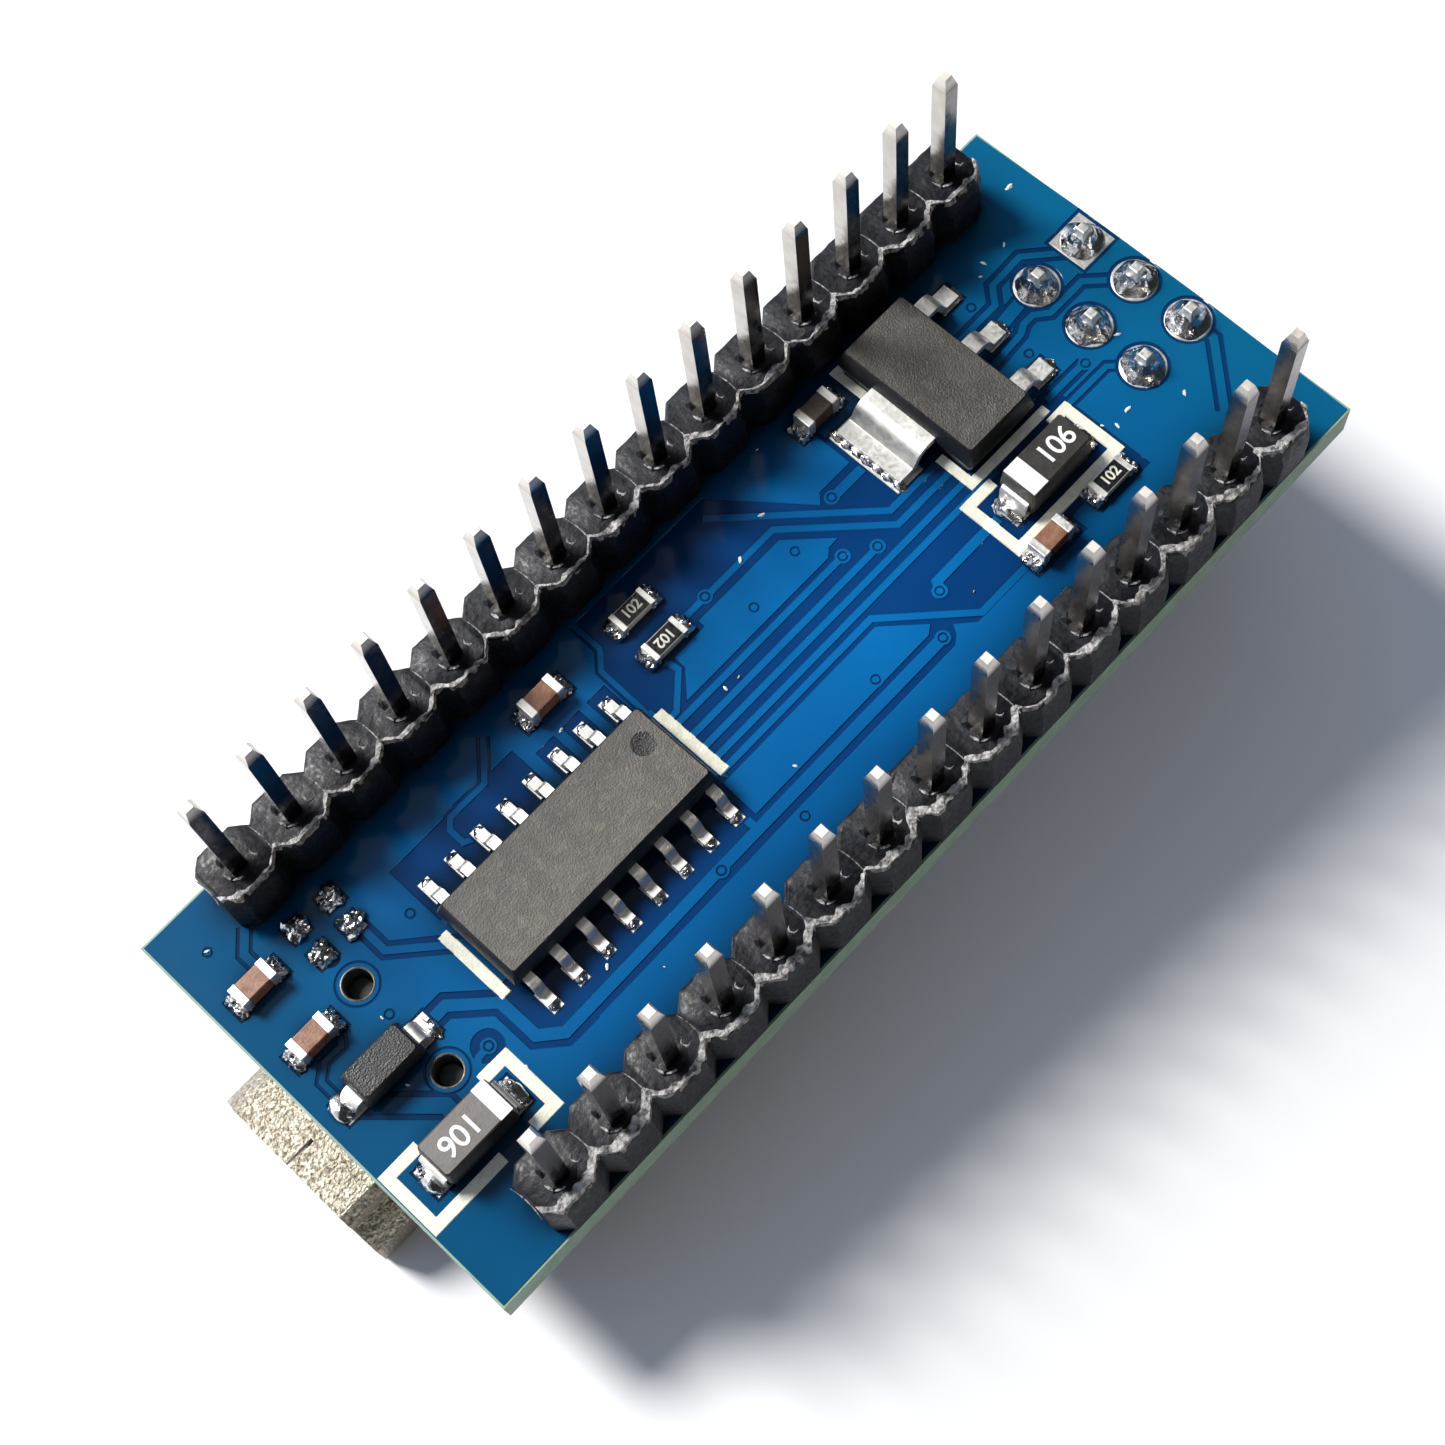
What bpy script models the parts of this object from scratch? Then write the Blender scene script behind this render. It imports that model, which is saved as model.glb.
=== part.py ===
"""Microcontroller dev board with two pin headers, modelled pins up.

Frame: +X runs from the USB socket to the six-pin programming header, +Y is the side of
header row A, and +Z points out of the pin side; the component side faces -Z.  The origin
is the middle of the object's box in X and Y, level with the programming header's pin tips.

Places on the board are measured from its own origin: the middle of the 2 x 15 header pin
grid, on the pin-side face.  Every part that stands on the board is drawn with its own +Z
pointing away from the board and then set on one face.  Sizes are in metres, written as
millimetres times MM.
"""

import math

import bmesh
import bpy
from mathutils import Matrix

MM = 0.001
OBJECT_NAME = "microcontroller_dev_board"

# Fits
GAP = 0.02 * MM                      # air kept between neighbouring pieces
EMBED = 0.25 * MM                    # how far a lead runs into the body it is joined to
HOLE_SEGMENTS = 16
ROUND_SEGMENTS = 32

# Header grid and circuit board
PITCH = 2.54 * MM
PINS_PER_ROW = 15
ROWS = (("a", 3 * PITCH), ("b", -3 * PITCH))
BOARD_LENGTH = 17 * PITCH
BOARD_WIDTH = 7 * PITCH
BOARD_THICKNESS = 1.6 * MM
BOARD_CENTRE_X = -0.39 * MM
DRILL_RADIUS = 0.51 * MM

# Header strips and pins
STRIP_HEIGHT = 2.54 * MM
STRIP_HALF_WIDTH = 1.25 * MM
STRIP_NOTCH_HALF_WIDTH = 0.78 * MM
CELL_FLAT = 0.72 * MM                # half length of a cell's straight side
PIN_SIZE = 0.64 * MM
PIN_ABOVE_STRIP = 6.0 * MM
PIN_TAIL = 3.0 * MM                  # below the strip, through the board
PIN_POINT = 0.55 * MM
PIN_POINT_SCALE = 0.5

# Programming header, 2 x 3 pins, on the component side
ICSP_X = 18.95 * MM
ICSP_Y = 0.3 * MM
ICSP_COLUMNS = 2
ICSP_ROWS = 3
ICSP_CHAMFER = PITCH / 4
ICSP_TAIL = 1.1 * MM                 # stands proud of the pin side

# USB socket; heights are measured away from the board's component face
USB_FRONT_X = -23.66 * MM
USB_LENGTH = 9.2 * MM
USB_BACK_X = USB_FRONT_X + USB_LENGTH
USB_Y = 0.2 * MM
USB_HEIGHT = 3.95 * MM
USB_WIDE = 3.85 * MM                 # half width of the side away from the board
USB_NARROW = 2.95 * MM               # half width of the side next to the board
USB_STEP_NEAR = 1.15 * MM            # the sides widen between these two heights
USB_STEP_MIDDLE = 1.5 * MM
USB_STEP_FAR = 2.05 * MM
USB_CORNER = 0.35 * MM
USB_WALL = 0.3 * MM
USB_FOOT_LENGTH = 1.6 * MM
USB_FOOT_REACH = 0.55 * MM           # beyond the shell's widest point
USB_FOOT_X = (USB_FRONT_X + 2.6 * MM, USB_BACK_X - 1.4 * MM)
USB_WINDOW = (2.6 * MM, 0.9 * MM)    # spring openings in the far side
USB_WINDOW_X = USB_FRONT_X + 3.4 * MM
USB_WINDOW_Y = 2.0 * MM
USB_SEAM = (1.5 * MM, 0.16 * MM)
USB_SEAM_X = USB_FRONT_X + 0.45 * MM
PEG_X = -17.75 * MM
PEG_PITCH = 4.4 * MM
PEG_RADIUS = 0.42 * MM
PEG_LENGTH = 0.88 * MM               # into the board
PEG_HOLE_RADIUS = 0.56 * MM
PEG_SHELL_CLEARANCE = 0.25 * MM
BLOCK_FRONT_X = USB_FRONT_X + 4.6 * MM
BLOCK_BACK_X = USB_BACK_X - 0.4 * MM
TONGUE_FRONT_X = USB_FRONT_X + 0.9 * MM
TONGUE_WIDTH = 4.6 * MM
TONGUE_THICKNESS = 0.85 * MM
TONGUE_HEIGHT = 1.75 * MM
CONTACTS = 5
CONTACT_PITCH = 0.8 * MM
CONTACT_WIDTH = 0.3 * MM
CONTACT_SHEET = 0.15 * MM
CONTACT_HEIGHT = 0.75 * MM
CONTACT_REACH = (0.25 * MM, 0.55 * MM, 1.35 * MM)

# Moulded bodies: length along X, width along Y, underside, parting line, top, draft
USB_CHIP_BODY = (9.9 * MM, 3.9 * MM, 0.15 * MM, 0.8 * MM, 1.55 * MM, 0.18 * MM)
REGULATOR_BODY = (3.5 * MM, 6.5 * MM, 0.1 * MM, 0.85 * MM, 1.65 * MM, 0.17 * MM)
TANTALUM_BODY = (3.2 * MM, 1.6 * MM, 0.1 * MM, 0.85 * MM, 1.65 * MM, 0.06 * MM)
DIODE_BODY = (2.65 * MM, 1.5 * MM, 0.06 * MM, 0.55 * MM, 1.12 * MM, 0.13 * MM)
CONTROLLER_BODY = (7.0 * MM, 7.0 * MM, 0.1 * MM, 0.6 * MM, 1.1 * MM, 0.1 * MM)
LED_LENS = (1.1 * MM, 0.8 * MM, 0.2 * MM, 0.3 * MM, 0.65 * MM, 0.07 * MM)

# Leads: shoulder and toe distance from the body's centre, shoulder height, width, sheet
USB_CHIP_LEAD = (2.2 * MM, 3.05 * MM, 0.7 * MM, 0.42 * MM, 0.2 * MM)
USB_CHIP_LEADS_PER_SIDE = 8
USB_CHIP_LEAD_PITCH = 1.27 * MM
REGULATOR_LEAD = (2.25 * MM, 3.5 * MM, 0.72 * MM, 0.72 * MM, 0.27 * MM)
REGULATOR_LEADS = 3
REGULATOR_LEAD_PITCH = 2.3 * MM
REGULATOR_TAB_WIDTH = 3.05 * MM
DIODE_LEAD = (1.45 * MM, 1.95 * MM, 0.45 * MM, 0.8 * MM, 0.13 * MM)
CONTROLLER_LEAD = (3.75 * MM, 4.5 * MM, 0.55 * MM, 0.35 * MM, 0.13 * MM)
CONTROLLER_LEADS_PER_SIDE = 8
CONTROLLER_LEAD_PITCH = 0.8 * MM
SWITCH_LEAD = (3.3 * MM, 4.1 * MM, 0.4 * MM, 0.9 * MM, 0.15 * MM)
HEEL = 0.32                          # where a lead lands, as a share of shoulder to toe
TANTALUM_TERMINAL = (0.85 * MM, 0.75 * MM, 1.2 * MM, 0.13 * MM)

# Chip parts: length, width, height, plated band at each end
CERAMIC_SIZE = (1.6 * MM, 0.84 * MM, 0.82 * MM, 0.32 * MM)
RESISTOR_SIZE = (1.6 * MM, 0.8 * MM, 0.46 * MM, 0.28 * MM)
BAND_STEP = 0.02 * MM
CRYSTAL_BASE = (3.2 * MM, 2.5 * MM, 0.5 * MM)
CRYSTAL_LID_SIZE = (2.9 * MM, 2.2 * MM, 0.5 * MM)
LED_BASE = (1.6 * MM, 0.8 * MM, 0.28 * MM)

# Where the pin-side parts stand
USB_CHIP_AT = (-9.28 * MM, 0.05 * MM)
REGULATOR_AT = (11.85 * MM, 2.68 * MM)
DIODE_AT = (-19.08 * MM, -0.40 * MM)
TANTALUM_AT = {
    "tantalum_cap_input": (-18.72 * MM, -4.20 * MM),
    "tantalum_cap_output": (12.00 * MM, -2.42 * MM),
}
CERAMIC_AT = {
    "ceramic_cap_usb_a": (-20.15 * MM, 4.85 * MM),
    "ceramic_cap_usb_b": (-20.08 * MM, 2.05 * MM),
    "ceramic_cap_chip": (-6.32 * MM, 4.87 * MM),
    "ceramic_cap_regulator": (8.33 * MM, 5.30 * MM),
    "ceramic_cap_output": (10.05 * MM, -4.35 * MM),
}
RESISTOR_AT = {
    "resistor_tx": (-1.75 * MM, 4.89 * MM),
    "resistor_rx": (-1.78 * MM, 3.25 * MM),
    "resistor_led": (13.34 * MM, -4.32 * MM),
}

# Where the component-side parts stand, and their turn
CONTROLLER_AT = (-6.2 * MM, 0.0, math.radians(45))
CRYSTAL_AT = {
    "crystal_controller": (1.9 * MM, 0.0, math.radians(90)),
    "crystal_usb": (-12.3 * MM, -4.4 * MM, 0.0),
}
LED_X = 12.2 * MM
LED_Y = {
    "led_power": -3.9 * MM,
    "led_user": -1.3 * MM,
    "led_receive": 1.3 * MM,
    "led_transmit": 3.9 * MM,
}
SWITCH_AT = (6.6 * MM, 0.0)

# Reset switch; heights are measured away from the board's component face
SWITCH_LENGTH = 6.0 * MM             # along Y
SWITCH_WIDTH = 3.5 * MM              # along X
SWITCH_BASE_LOW = 0.1 * MM
SWITCH_BASE_TOP = 1.5 * MM
WELL_FLOOR = 0.55 * MM
WELL_RADIUS = 1.45 * MM
DOME_RADIUS = 1.30 * MM
DOME_HEIGHT = 0.20 * MM
DOME_SHEET = 0.07 * MM
DOME_RINGS = 4
DOME_SEGMENTS = 24
COVER_SHEET = 0.15 * MM
COVER_LENGTH = 4.6 * MM
COVER_HOLE_RADIUS = 1.12 * MM
SKIRT_LENGTH = 3.2 * MM
SKIRT_LOW = 0.5 * MM
FLANGE_RADIUS = 1.32 * MM
FLANGE_LOW = 1.15 * MM
FLANGE_HIGH = 1.45 * MM
BUTTON_RADIUS = 1.05 * MM
BUTTON_TOP = 2.5 * MM
BUTTON_EDGE = 0.12 * MM
BUTTON_TRAVEL = 0.25 * MM

# The board's origin in the object's frame: box centred in X, lowest pin tips at zero
BOARD_SHIFT = -(USB_FRONT_X + ICSP_X + ICSP_COLUMNS * PITCH / 2) / 2
BOARD_LIFT = BOARD_THICKNESS + GAP + STRIP_HEIGHT + PIN_ABOVE_STRIP

PIN_SIDE = "pin_side"
COMPONENT_SIDE = "component_side"
THROUGH = 2 * BOARD_THICKNESS        # a cutter this long passes any piece it is meant for


# ---------------------------------------------------------------- scene and materials

def clear_scene():
    for obj in list(bpy.data.objects):
        bpy.data.objects.remove(obj, do_unlink=True)


def make_collection(name):
    collection = bpy.data.collections.new(name)
    bpy.context.scene.collection.children.link(collection)
    return collection


def principled(name, colour, roughness, metallic=0.0):
    material = bpy.data.materials.new(name)
    material.use_nodes = True
    shader = material.node_tree.nodes["Principled BSDF"]
    shader.inputs["Base Color"].default_value = (*colour, 1.0)
    shader.inputs["Roughness"].default_value = roughness
    shader.inputs["Metallic"].default_value = metallic
    return material


clear_scene()
PARTS = make_collection(OBJECT_NAME)
CUTTERS = make_collection("cutters")

SOLDER_MASK = principled("blue_solder_mask", (0.01, 0.13, 0.33), 0.35)
STRIP_PLASTIC = principled("header_plastic", (0.02, 0.02, 0.022), 0.55)
PIN_METAL = principled("pin_tin_plate", (0.72, 0.69, 0.62), 0.3, 1.0)
SHELL_STEEL = principled("usb_nickel_shell", (0.66, 0.61, 0.52), 0.4, 1.0)
INSERT_PLASTIC = principled("usb_insert_plastic", (0.015, 0.015, 0.015), 0.5)
CHIP_EPOXY = principled("chip_epoxy", (0.11, 0.105, 0.095), 0.6)
REGULATOR_EPOXY = principled("regulator_epoxy", (0.07, 0.068, 0.062), 0.65)
TANTALUM_RESIN = principled("tantalum_resin", (0.10, 0.095, 0.088), 0.5)
CERAMIC = principled("ceramic_tan", (0.42, 0.21, 0.11), 0.45)
RESISTOR_BODY = principled("resistor_black", (0.02, 0.02, 0.022), 0.4)
DIODE_EPOXY = principled("diode_epoxy", (0.02, 0.02, 0.02), 0.45)
CRYSTAL_METAL = principled("crystal_lid", (0.70, 0.68, 0.62), 0.25, 1.0)
SWITCH_PLASTIC = principled("switch_plastic", (0.03, 0.03, 0.032), 0.5)
SWITCH_STEEL = principled("switch_steel", (0.62, 0.61, 0.58), 0.3, 1.0)
BUTTON_PLASTIC = principled("button_plastic", (0.75, 0.74, 0.70), 0.4)
LED_RESIN = principled("led_resin", (0.80, 0.78, 0.62), 0.25)


# ---------------------------------------------------------------- placing

def empty(name, parent=None):
    obj = bpy.data.objects.new(name, None)
    obj.parent = parent
    PARTS.objects.link(obj)
    return obj


BOARD_ORIGIN = empty("board_origin")
BOARD_ORIGIN.location = (BOARD_SHIFT, 0.0, BOARD_LIFT)


def add_part(name, mesh, material, location=(0.0, 0.0, 0.0), parent=None):
    """A visible sub-part with its own material, hung from the board's origin."""
    mesh.materials.clear()
    mesh.materials.append(material)
    obj = bpy.data.objects.new(name, mesh)
    obj.location = location
    obj.parent = parent or BOARD_ORIGIN
    PARTS.objects.link(obj)
    return obj


def boolean(obj, operand_mesh, operation):
    """Joins or cuts a part with a guide solid that follows it and is never shown."""
    guide = bpy.data.objects.new(operand_mesh.name, operand_mesh)
    guide.parent = obj
    guide.hide_render = True
    guide.display_type = "WIRE"
    CUTTERS.objects.link(guide)
    modifier = obj.modifiers.new(operation.lower(), "BOOLEAN")
    modifier.operation = operation
    modifier.solver = "EXACT"
    modifier.object = guide


def stand_on(obj, place, side, turn=0.0):
    """Sets a part on one face of the board; on the component side it is turned over."""
    if side == PIN_SIDE:
        obj.location = (place[0], place[1], 0.0)
        obj.rotation_euler = (0.0, 0.0, turn)
    else:
        obj.location = (place[0], place[1], -BOARD_THICKNESS)
        obj.rotation_euler = (math.pi, 0.0, turn)


# ---------------------------------------------------------------- mesh tools

def finish_mesh(bm, name):
    bmesh.ops.recalc_face_normals(bm, faces=bm.faces)
    mesh = bpy.data.meshes.new(name)
    bm.to_mesh(mesh)
    bm.free()
    return mesh


def add_box(bm, size, centre):
    matrix = Matrix.Translation(centre) @ Matrix.Diagonal((*size, 1.0))
    return bmesh.ops.create_cube(bm, size=1.0, matrix=matrix)["verts"]


def box_mesh(name, size, centre):
    bm = bmesh.new()
    add_box(bm, size, centre)
    return finish_mesh(bm, name)


def add_cylinder(bm, radius, low, high, centre=(0.0, 0.0), segments=HOLE_SEGMENTS):
    bmesh.ops.create_cone(
        bm,
        cap_ends=True,
        segments=segments,
        radius1=radius,
        radius2=radius,
        depth=high - low,
        matrix=Matrix.Translation((centre[0], centre[1], (low + high) / 2)),
    )


def cut_plane(bm, geometry, point, normal):
    bmesh.ops.bisect_plane(bm, geom=geometry, plane_co=point, plane_no=normal)


def scale_ring(verts, height, scale_x, scale_y, centre=(0.0, 0.0)):
    """Scales in X and Y only those corners that lie at one height."""
    for vert in verts:
        if abs(vert.co.z - height) < GAP / 10:
            vert.co.x = centre[0] + (vert.co.x - centre[0]) * scale_x
            vert.co.y = centre[1] + (vert.co.y - centre[1]) * scale_y


def drafted_box(name, length, width, low, seam, high, draft):
    """A moulded body: widest at its parting line, drawn in above and below it."""
    bm = bmesh.new()
    add_box(bm, (length, width, high - low), (0.0, 0.0, (low + high) / 2))
    cut_plane(bm, bm.verts[:] + bm.edges[:] + bm.faces[:], (0.0, 0.0, seam), (0.0, 0.0, 1.0))
    for height in (low, high):
        scale_ring(bm.verts, height, 1 - 2 * draft / length, 1 - 2 * draft / width)
    return finish_mesh(bm, name)


def add_square_pin(bm, low, high, centre):
    """A square pin with a blunt pyramid at both ends."""
    verts = add_box(bm, (PIN_SIZE, PIN_SIZE, high - low), (*centre, (low + high) / 2))
    for direction, end in ((1.0, high), (-1.0, low)):
        edges = {edge for vert in verts for edge in vert.link_edges}
        faces = {face for vert in verts for face in vert.link_faces}
        shoulder = (0.0, 0.0, end - direction * PIN_POINT)
        cut_plane(bm, verts + list(edges) + list(faces), shoulder, (0.0, 0.0, direction))
        scale_ring(verts, end, PIN_POINT_SCALE, PIN_POINT_SCALE, centre)


def add_strip(bm, path, width, thickness, matrix):
    """A bent metal strip: a path in the XZ plane, swept along Y and thickened.

    The thickness goes to the left of the path's direction, so a lead drawn outwards and
    down has its path on the side next to the board.
    """
    strip = bmesh.new()
    row = [strip.verts.new((x, -width / 2, z)) for x, z in path]
    edges = [strip.edges.new(pair) for pair in zip(row, row[1:])]
    swept = bmesh.ops.extrude_edge_only(strip, edges=edges)["geom"]
    moved = [item for item in swept if isinstance(item, bmesh.types.BMVert)]
    bmesh.ops.translate(strip, verts=moved, vec=(0.0, width, 0.0))
    strip.normal_update()
    bmesh.ops.solidify(strip, geom=strip.faces[:], thickness=thickness)
    bmesh.ops.transform(strip, matrix=matrix, verts=strip.verts)
    mesh = finish_mesh(strip, "strip")
    bm.from_mesh(mesh)
    bpy.data.meshes.remove(mesh)


def turned(angle, offset=(0.0, 0.0, 0.0)):
    return Matrix.Rotation(angle, 4, "Z") @ Matrix.Translation(offset)


def outline_mesh(name, points, height):
    """A flat closed outline, filled and given a height from its own plane upwards."""
    curve = bpy.data.curves.new(name, "CURVE")
    curve.dimensions = "2D"
    curve.fill_mode = "BOTH"
    curve.extrude = height / 2
    spline = curve.splines.new("POLY")
    spline.points.add(len(points) - 1)
    for target, (x, y) in zip(spline.points, points):
        target.co = (x, y, 0.0, 1.0)
    spline.use_cyclic_u = True

    obj = bpy.data.objects.new(name, curve)
    CUTTERS.objects.link(obj)
    graph = bpy.context.evaluated_depsgraph_get()
    mesh = bpy.data.meshes.new_from_object(obj.evaluated_get(graph))
    bpy.data.objects.remove(obj, do_unlink=True)
    bpy.data.curves.remove(curve)

    bm = bmesh.new()
    bm.from_mesh(mesh)
    bpy.data.meshes.remove(mesh)
    bmesh.ops.remove_doubles(bm, verts=bm.verts, dist=GAP / 100)
    bmesh.ops.dissolve_limit(bm, angle_limit=0.001, verts=bm.verts, edges=bm.edges)
    bmesh.ops.translate(bm, verts=bm.verts, vec=(0.0, 0.0, height / 2))
    return finish_mesh(bm, name)


def profile_mesh(name, profile):
    """The half section of a turned piece, in its XZ plane, outer side first."""
    bm = bmesh.new()
    verts = [bm.verts.new((x, 0.0, z)) for x, z in profile]
    for pair in zip(verts, verts[1:]):
        bm.edges.new(pair)
    mesh = bpy.data.meshes.new(name)
    bm.to_mesh(mesh)
    bm.free()
    return mesh


def turn_profile(obj, segments):
    screw = obj.modifiers.new("turn", "SCREW")
    screw.angle = 2 * math.pi
    screw.steps = segments
    screw.render_steps = segments
    screw.use_merge_vertices = True
    screw.merge_threshold = GAP / 20


# ---------------------------------------------------------------- board

def row_x(index):
    return (index - (PINS_PER_ROW - 1) / 2) * PITCH


def icsp_places():
    for column in range(ICSP_COLUMNS):
        for row in range(ICSP_ROWS):
            x = ICSP_X + (column - (ICSP_COLUMNS - 1) / 2) * PITCH
            y = ICSP_Y + (row - (ICSP_ROWS - 1) / 2) * PITCH
            yield x, y


def make_board():
    """The laminate, drilled for the headers and for the USB socket's pegs."""
    size = (BOARD_LENGTH, BOARD_WIDTH, BOARD_THICKNESS)
    slab = box_mesh("circuit_board", size, (BOARD_CENTRE_X, 0.0, -BOARD_THICKNESS / 2))
    board = add_part("circuit_board", slab, SOLDER_MASK)

    drills = bmesh.new()
    for _, y in ROWS:
        for index in range(PINS_PER_ROW):
            add_cylinder(drills, DRILL_RADIUS, -THROUGH, THROUGH, (row_x(index), y))
    for place in icsp_places():
        add_cylinder(drills, DRILL_RADIUS, -THROUGH, THROUGH, place)
    for side in (-1, 1):
        place = (PEG_X, USB_Y + side * PEG_PITCH / 2)
        add_cylinder(drills, PEG_HOLE_RADIUS, -THROUGH, THROUGH, place)
    boolean(board, finish_mesh(drills, "board_drills"), "DIFFERENCE")


# ---------------------------------------------------------------- headers

def make_strips():
    """Insulator strips: a bar with a V notch on both sides of every joint between cells."""
    length = PINS_PER_ROW * PITCH
    height = STRIP_HEIGHT - GAP
    bar = box_mesh("header_strip", (length, 2 * STRIP_HALF_WIDTH, height), (0.0, 0.0, height / 2))

    cuts = bmesh.new()
    notch_depth = STRIP_HALF_WIDTH - STRIP_NOTCH_HALF_WIDTH
    notch = Matrix.Diagonal((PITCH / 2 - CELL_FLAT, notch_depth, 3 * STRIP_HEIGHT, 1.0))
    for joint in range(PINS_PER_ROW + 1):
        for side in (-1, 1):
            place = (joint * PITCH - length / 2, side * STRIP_HALF_WIDTH, 0.0)
            bmesh.ops.create_cone(
                cuts,
                cap_ends=True,
                segments=4,
                radius1=1.0,
                radius2=1.0,
                depth=1.0,
                matrix=Matrix.Translation(place) @ notch,
            )
    socket = (PIN_SIZE + 2 * GAP, PIN_SIZE + 2 * GAP, 3 * STRIP_HEIGHT)
    for index in range(PINS_PER_ROW):
        add_box(cuts, socket, (row_x(index), 0.0, STRIP_HEIGHT / 2))
    cut_mesh = finish_mesh(cuts, "strip_cuts")

    for row_name, y in ROWS:
        strip = add_part("header_strip_" + row_name, bar.copy(), STRIP_PLASTIC, (0.0, y, GAP))
        boolean(strip, cut_mesh, "DIFFERENCE")
    bpy.data.meshes.remove(bar)


def make_pins():
    bm = bmesh.new()
    add_square_pin(bm, GAP - PIN_TAIL, STRIP_HEIGHT + PIN_ABOVE_STRIP, (0.0, 0.0))
    mesh = finish_mesh(bm, "header_pin")
    for row_name, y in ROWS:
        for index in range(PINS_PER_ROW):
            name = "header_pin_%s%02d" % (row_name, index + 1)
            add_part(name, mesh, PIN_METAL, (row_x(index), y, 0.0))


def make_icsp_header():
    """The block under the board, with its six pins through the board's holes."""
    top = -BOARD_THICKNESS - GAP
    bottom = top - STRIP_HEIGHT
    size = (ICSP_COLUMNS * PITCH, ICSP_ROWS * PITCH, STRIP_HEIGHT)
    bm = bmesh.new()
    add_box(bm, size, (ICSP_X, ICSP_Y, (top + bottom) / 2))
    upright = [
        edge for edge in bm.edges
        if abs(edge.verts[0].co.z - edge.verts[1].co.z) > ICSP_CHAMFER
    ]
    bmesh.ops.bevel(bm, geom=upright, offset=ICSP_CHAMFER, segments=1, affect="EDGES")
    header = add_part("icsp_header", finish_mesh(bm, "icsp_header"), STRIP_PLASTIC)

    pins = bmesh.new()
    for place in icsp_places():
        add_square_pin(pins, bottom - PIN_ABOVE_STRIP, ICSP_TAIL, place)
    boolean(header, finish_mesh(pins, "icsp_pins"), "UNION")


# ---------------------------------------------------------------- USB socket

def usb_section(inset):
    """The socket's outline seen from the front: (across, away from the board) pairs."""
    narrow = USB_NARROW - inset
    wide = USB_WIDE - inset
    far = USB_HEIGHT - inset
    half = [
        (narrow - USB_CORNER, inset),
        (narrow, inset + USB_CORNER),
        (narrow, USB_STEP_NEAR),
        ((narrow + wide) / 2, USB_STEP_MIDDLE),
        (wide, USB_STEP_FAR),
        (wide, far - USB_CORNER),
        (wide - USB_CORNER, far),
    ]
    return half + [(-across, away) for across, away in reversed(half)]


def prism_along_x(name, section, x_low, x_high):
    """Stands an outline upright across the board and runs it along X."""
    mesh = outline_mesh(name, section, x_high - x_low)
    upright = Matrix(((0, 0, 1, 0), (1, 0, 0, 0), (0, 1, 0, 0), (0, 0, 0, 1)))
    mesh.transform(Matrix.Translation((x_low, 0.0, 0.0)) @ upright)
    return mesh


def make_usb_shell():
    """Folded metal shell, open at both ends, with its four solder feet."""
    body = prism_along_x("usb_shell", usb_section(0.0), USB_FRONT_X, USB_BACK_X)
    shell = add_part("usb_shell", body, SHELL_STEEL)
    stand_on(shell, (0.0, USB_Y), COMPONENT_SIDE)
    shell.location.z -= GAP

    feet = bmesh.new()
    foot_size = (USB_FOOT_LENGTH, 2 * (USB_WIDE + USB_FOOT_REACH), USB_WALL)
    for x in USB_FOOT_X:
        add_box(feet, foot_size, (x, 0.0, USB_WALL / 2))
    boolean(shell, finish_mesh(feet, "usb_feet"), "UNION")

    cavity = prism_along_x(
        "usb_cavity", usb_section(USB_WALL), USB_FRONT_X - THROUGH, USB_BACK_X + THROUGH
    )
    boolean(shell, cavity, "DIFFERENCE")

    openings = bmesh.new()
    for side in (-1, 1):
        peg_place = (PEG_X, side * PEG_PITCH / 2)
        add_cylinder(
            openings, PEG_RADIUS + PEG_SHELL_CLEARANCE, -USB_WALL, 2 * USB_WALL, peg_place
        )
        window_place = (USB_WINDOW_X, side * USB_WINDOW_Y, USB_HEIGHT)
        add_box(openings, (*USB_WINDOW, 4 * USB_WALL), window_place)
    add_box(openings, (*USB_SEAM, 4 * USB_WALL), (USB_SEAM_X, 0.0, 0.0))
    boolean(shell, finish_mesh(openings, "usb_openings"), "DIFFERENCE")


def make_usb_insert():
    """Moulded block behind the tongue, its two locating pegs and the five contacts."""
    section = usb_section(USB_WALL + GAP)
    block = prism_along_x("usb_insert", section, BLOCK_FRONT_X, BLOCK_BACK_X)
    insert = add_part("usb_insert", block, INSERT_PLASTIC)
    stand_on(insert, (0.0, USB_Y), COMPONENT_SIDE)
    insert.location.z -= GAP

    extras = bmesh.new()
    tongue_length = BLOCK_FRONT_X + EMBED - TONGUE_FRONT_X
    tongue_place = (TONGUE_FRONT_X + tongue_length / 2, 0.0, TONGUE_HEIGHT)
    add_box(extras, (tongue_length, TONGUE_WIDTH, TONGUE_THICKNESS), tongue_place)
    for side in (-1, 1):
        peg_place = (PEG_X, side * PEG_PITCH / 2)
        add_cylinder(extras, PEG_RADIUS, -PEG_LENGTH, 2 * USB_WALL, peg_place)
    contact_path = [
        (BLOCK_BACK_X - EMBED, CONTACT_HEIGHT),
        (USB_BACK_X + CONTACT_REACH[0], CONTACT_HEIGHT),
        (USB_BACK_X + CONTACT_REACH[1], GAP),
        (USB_BACK_X + CONTACT_REACH[2], GAP),
    ]
    for index in range(CONTACTS):
        y = (index - (CONTACTS - 1) / 2) * CONTACT_PITCH
        matrix = Matrix.Translation((0.0, y, 0.0))
        add_strip(extras, contact_path, CONTACT_WIDTH, CONTACT_SHEET, matrix)
    boolean(insert, finish_mesh(extras, "usb_insert_extras"), "UNION")


# ---------------------------------------------------------------- parts with leads

def gull_wing(body_edge, shoulder, toe, height):
    """Underside of a lead: out of the body, down, and flat on the board."""
    heel = shoulder + (toe - shoulder) * HEEL
    return [(body_edge - EMBED, height), (shoulder, height), (heel, GAP), (toe, GAP)]


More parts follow.
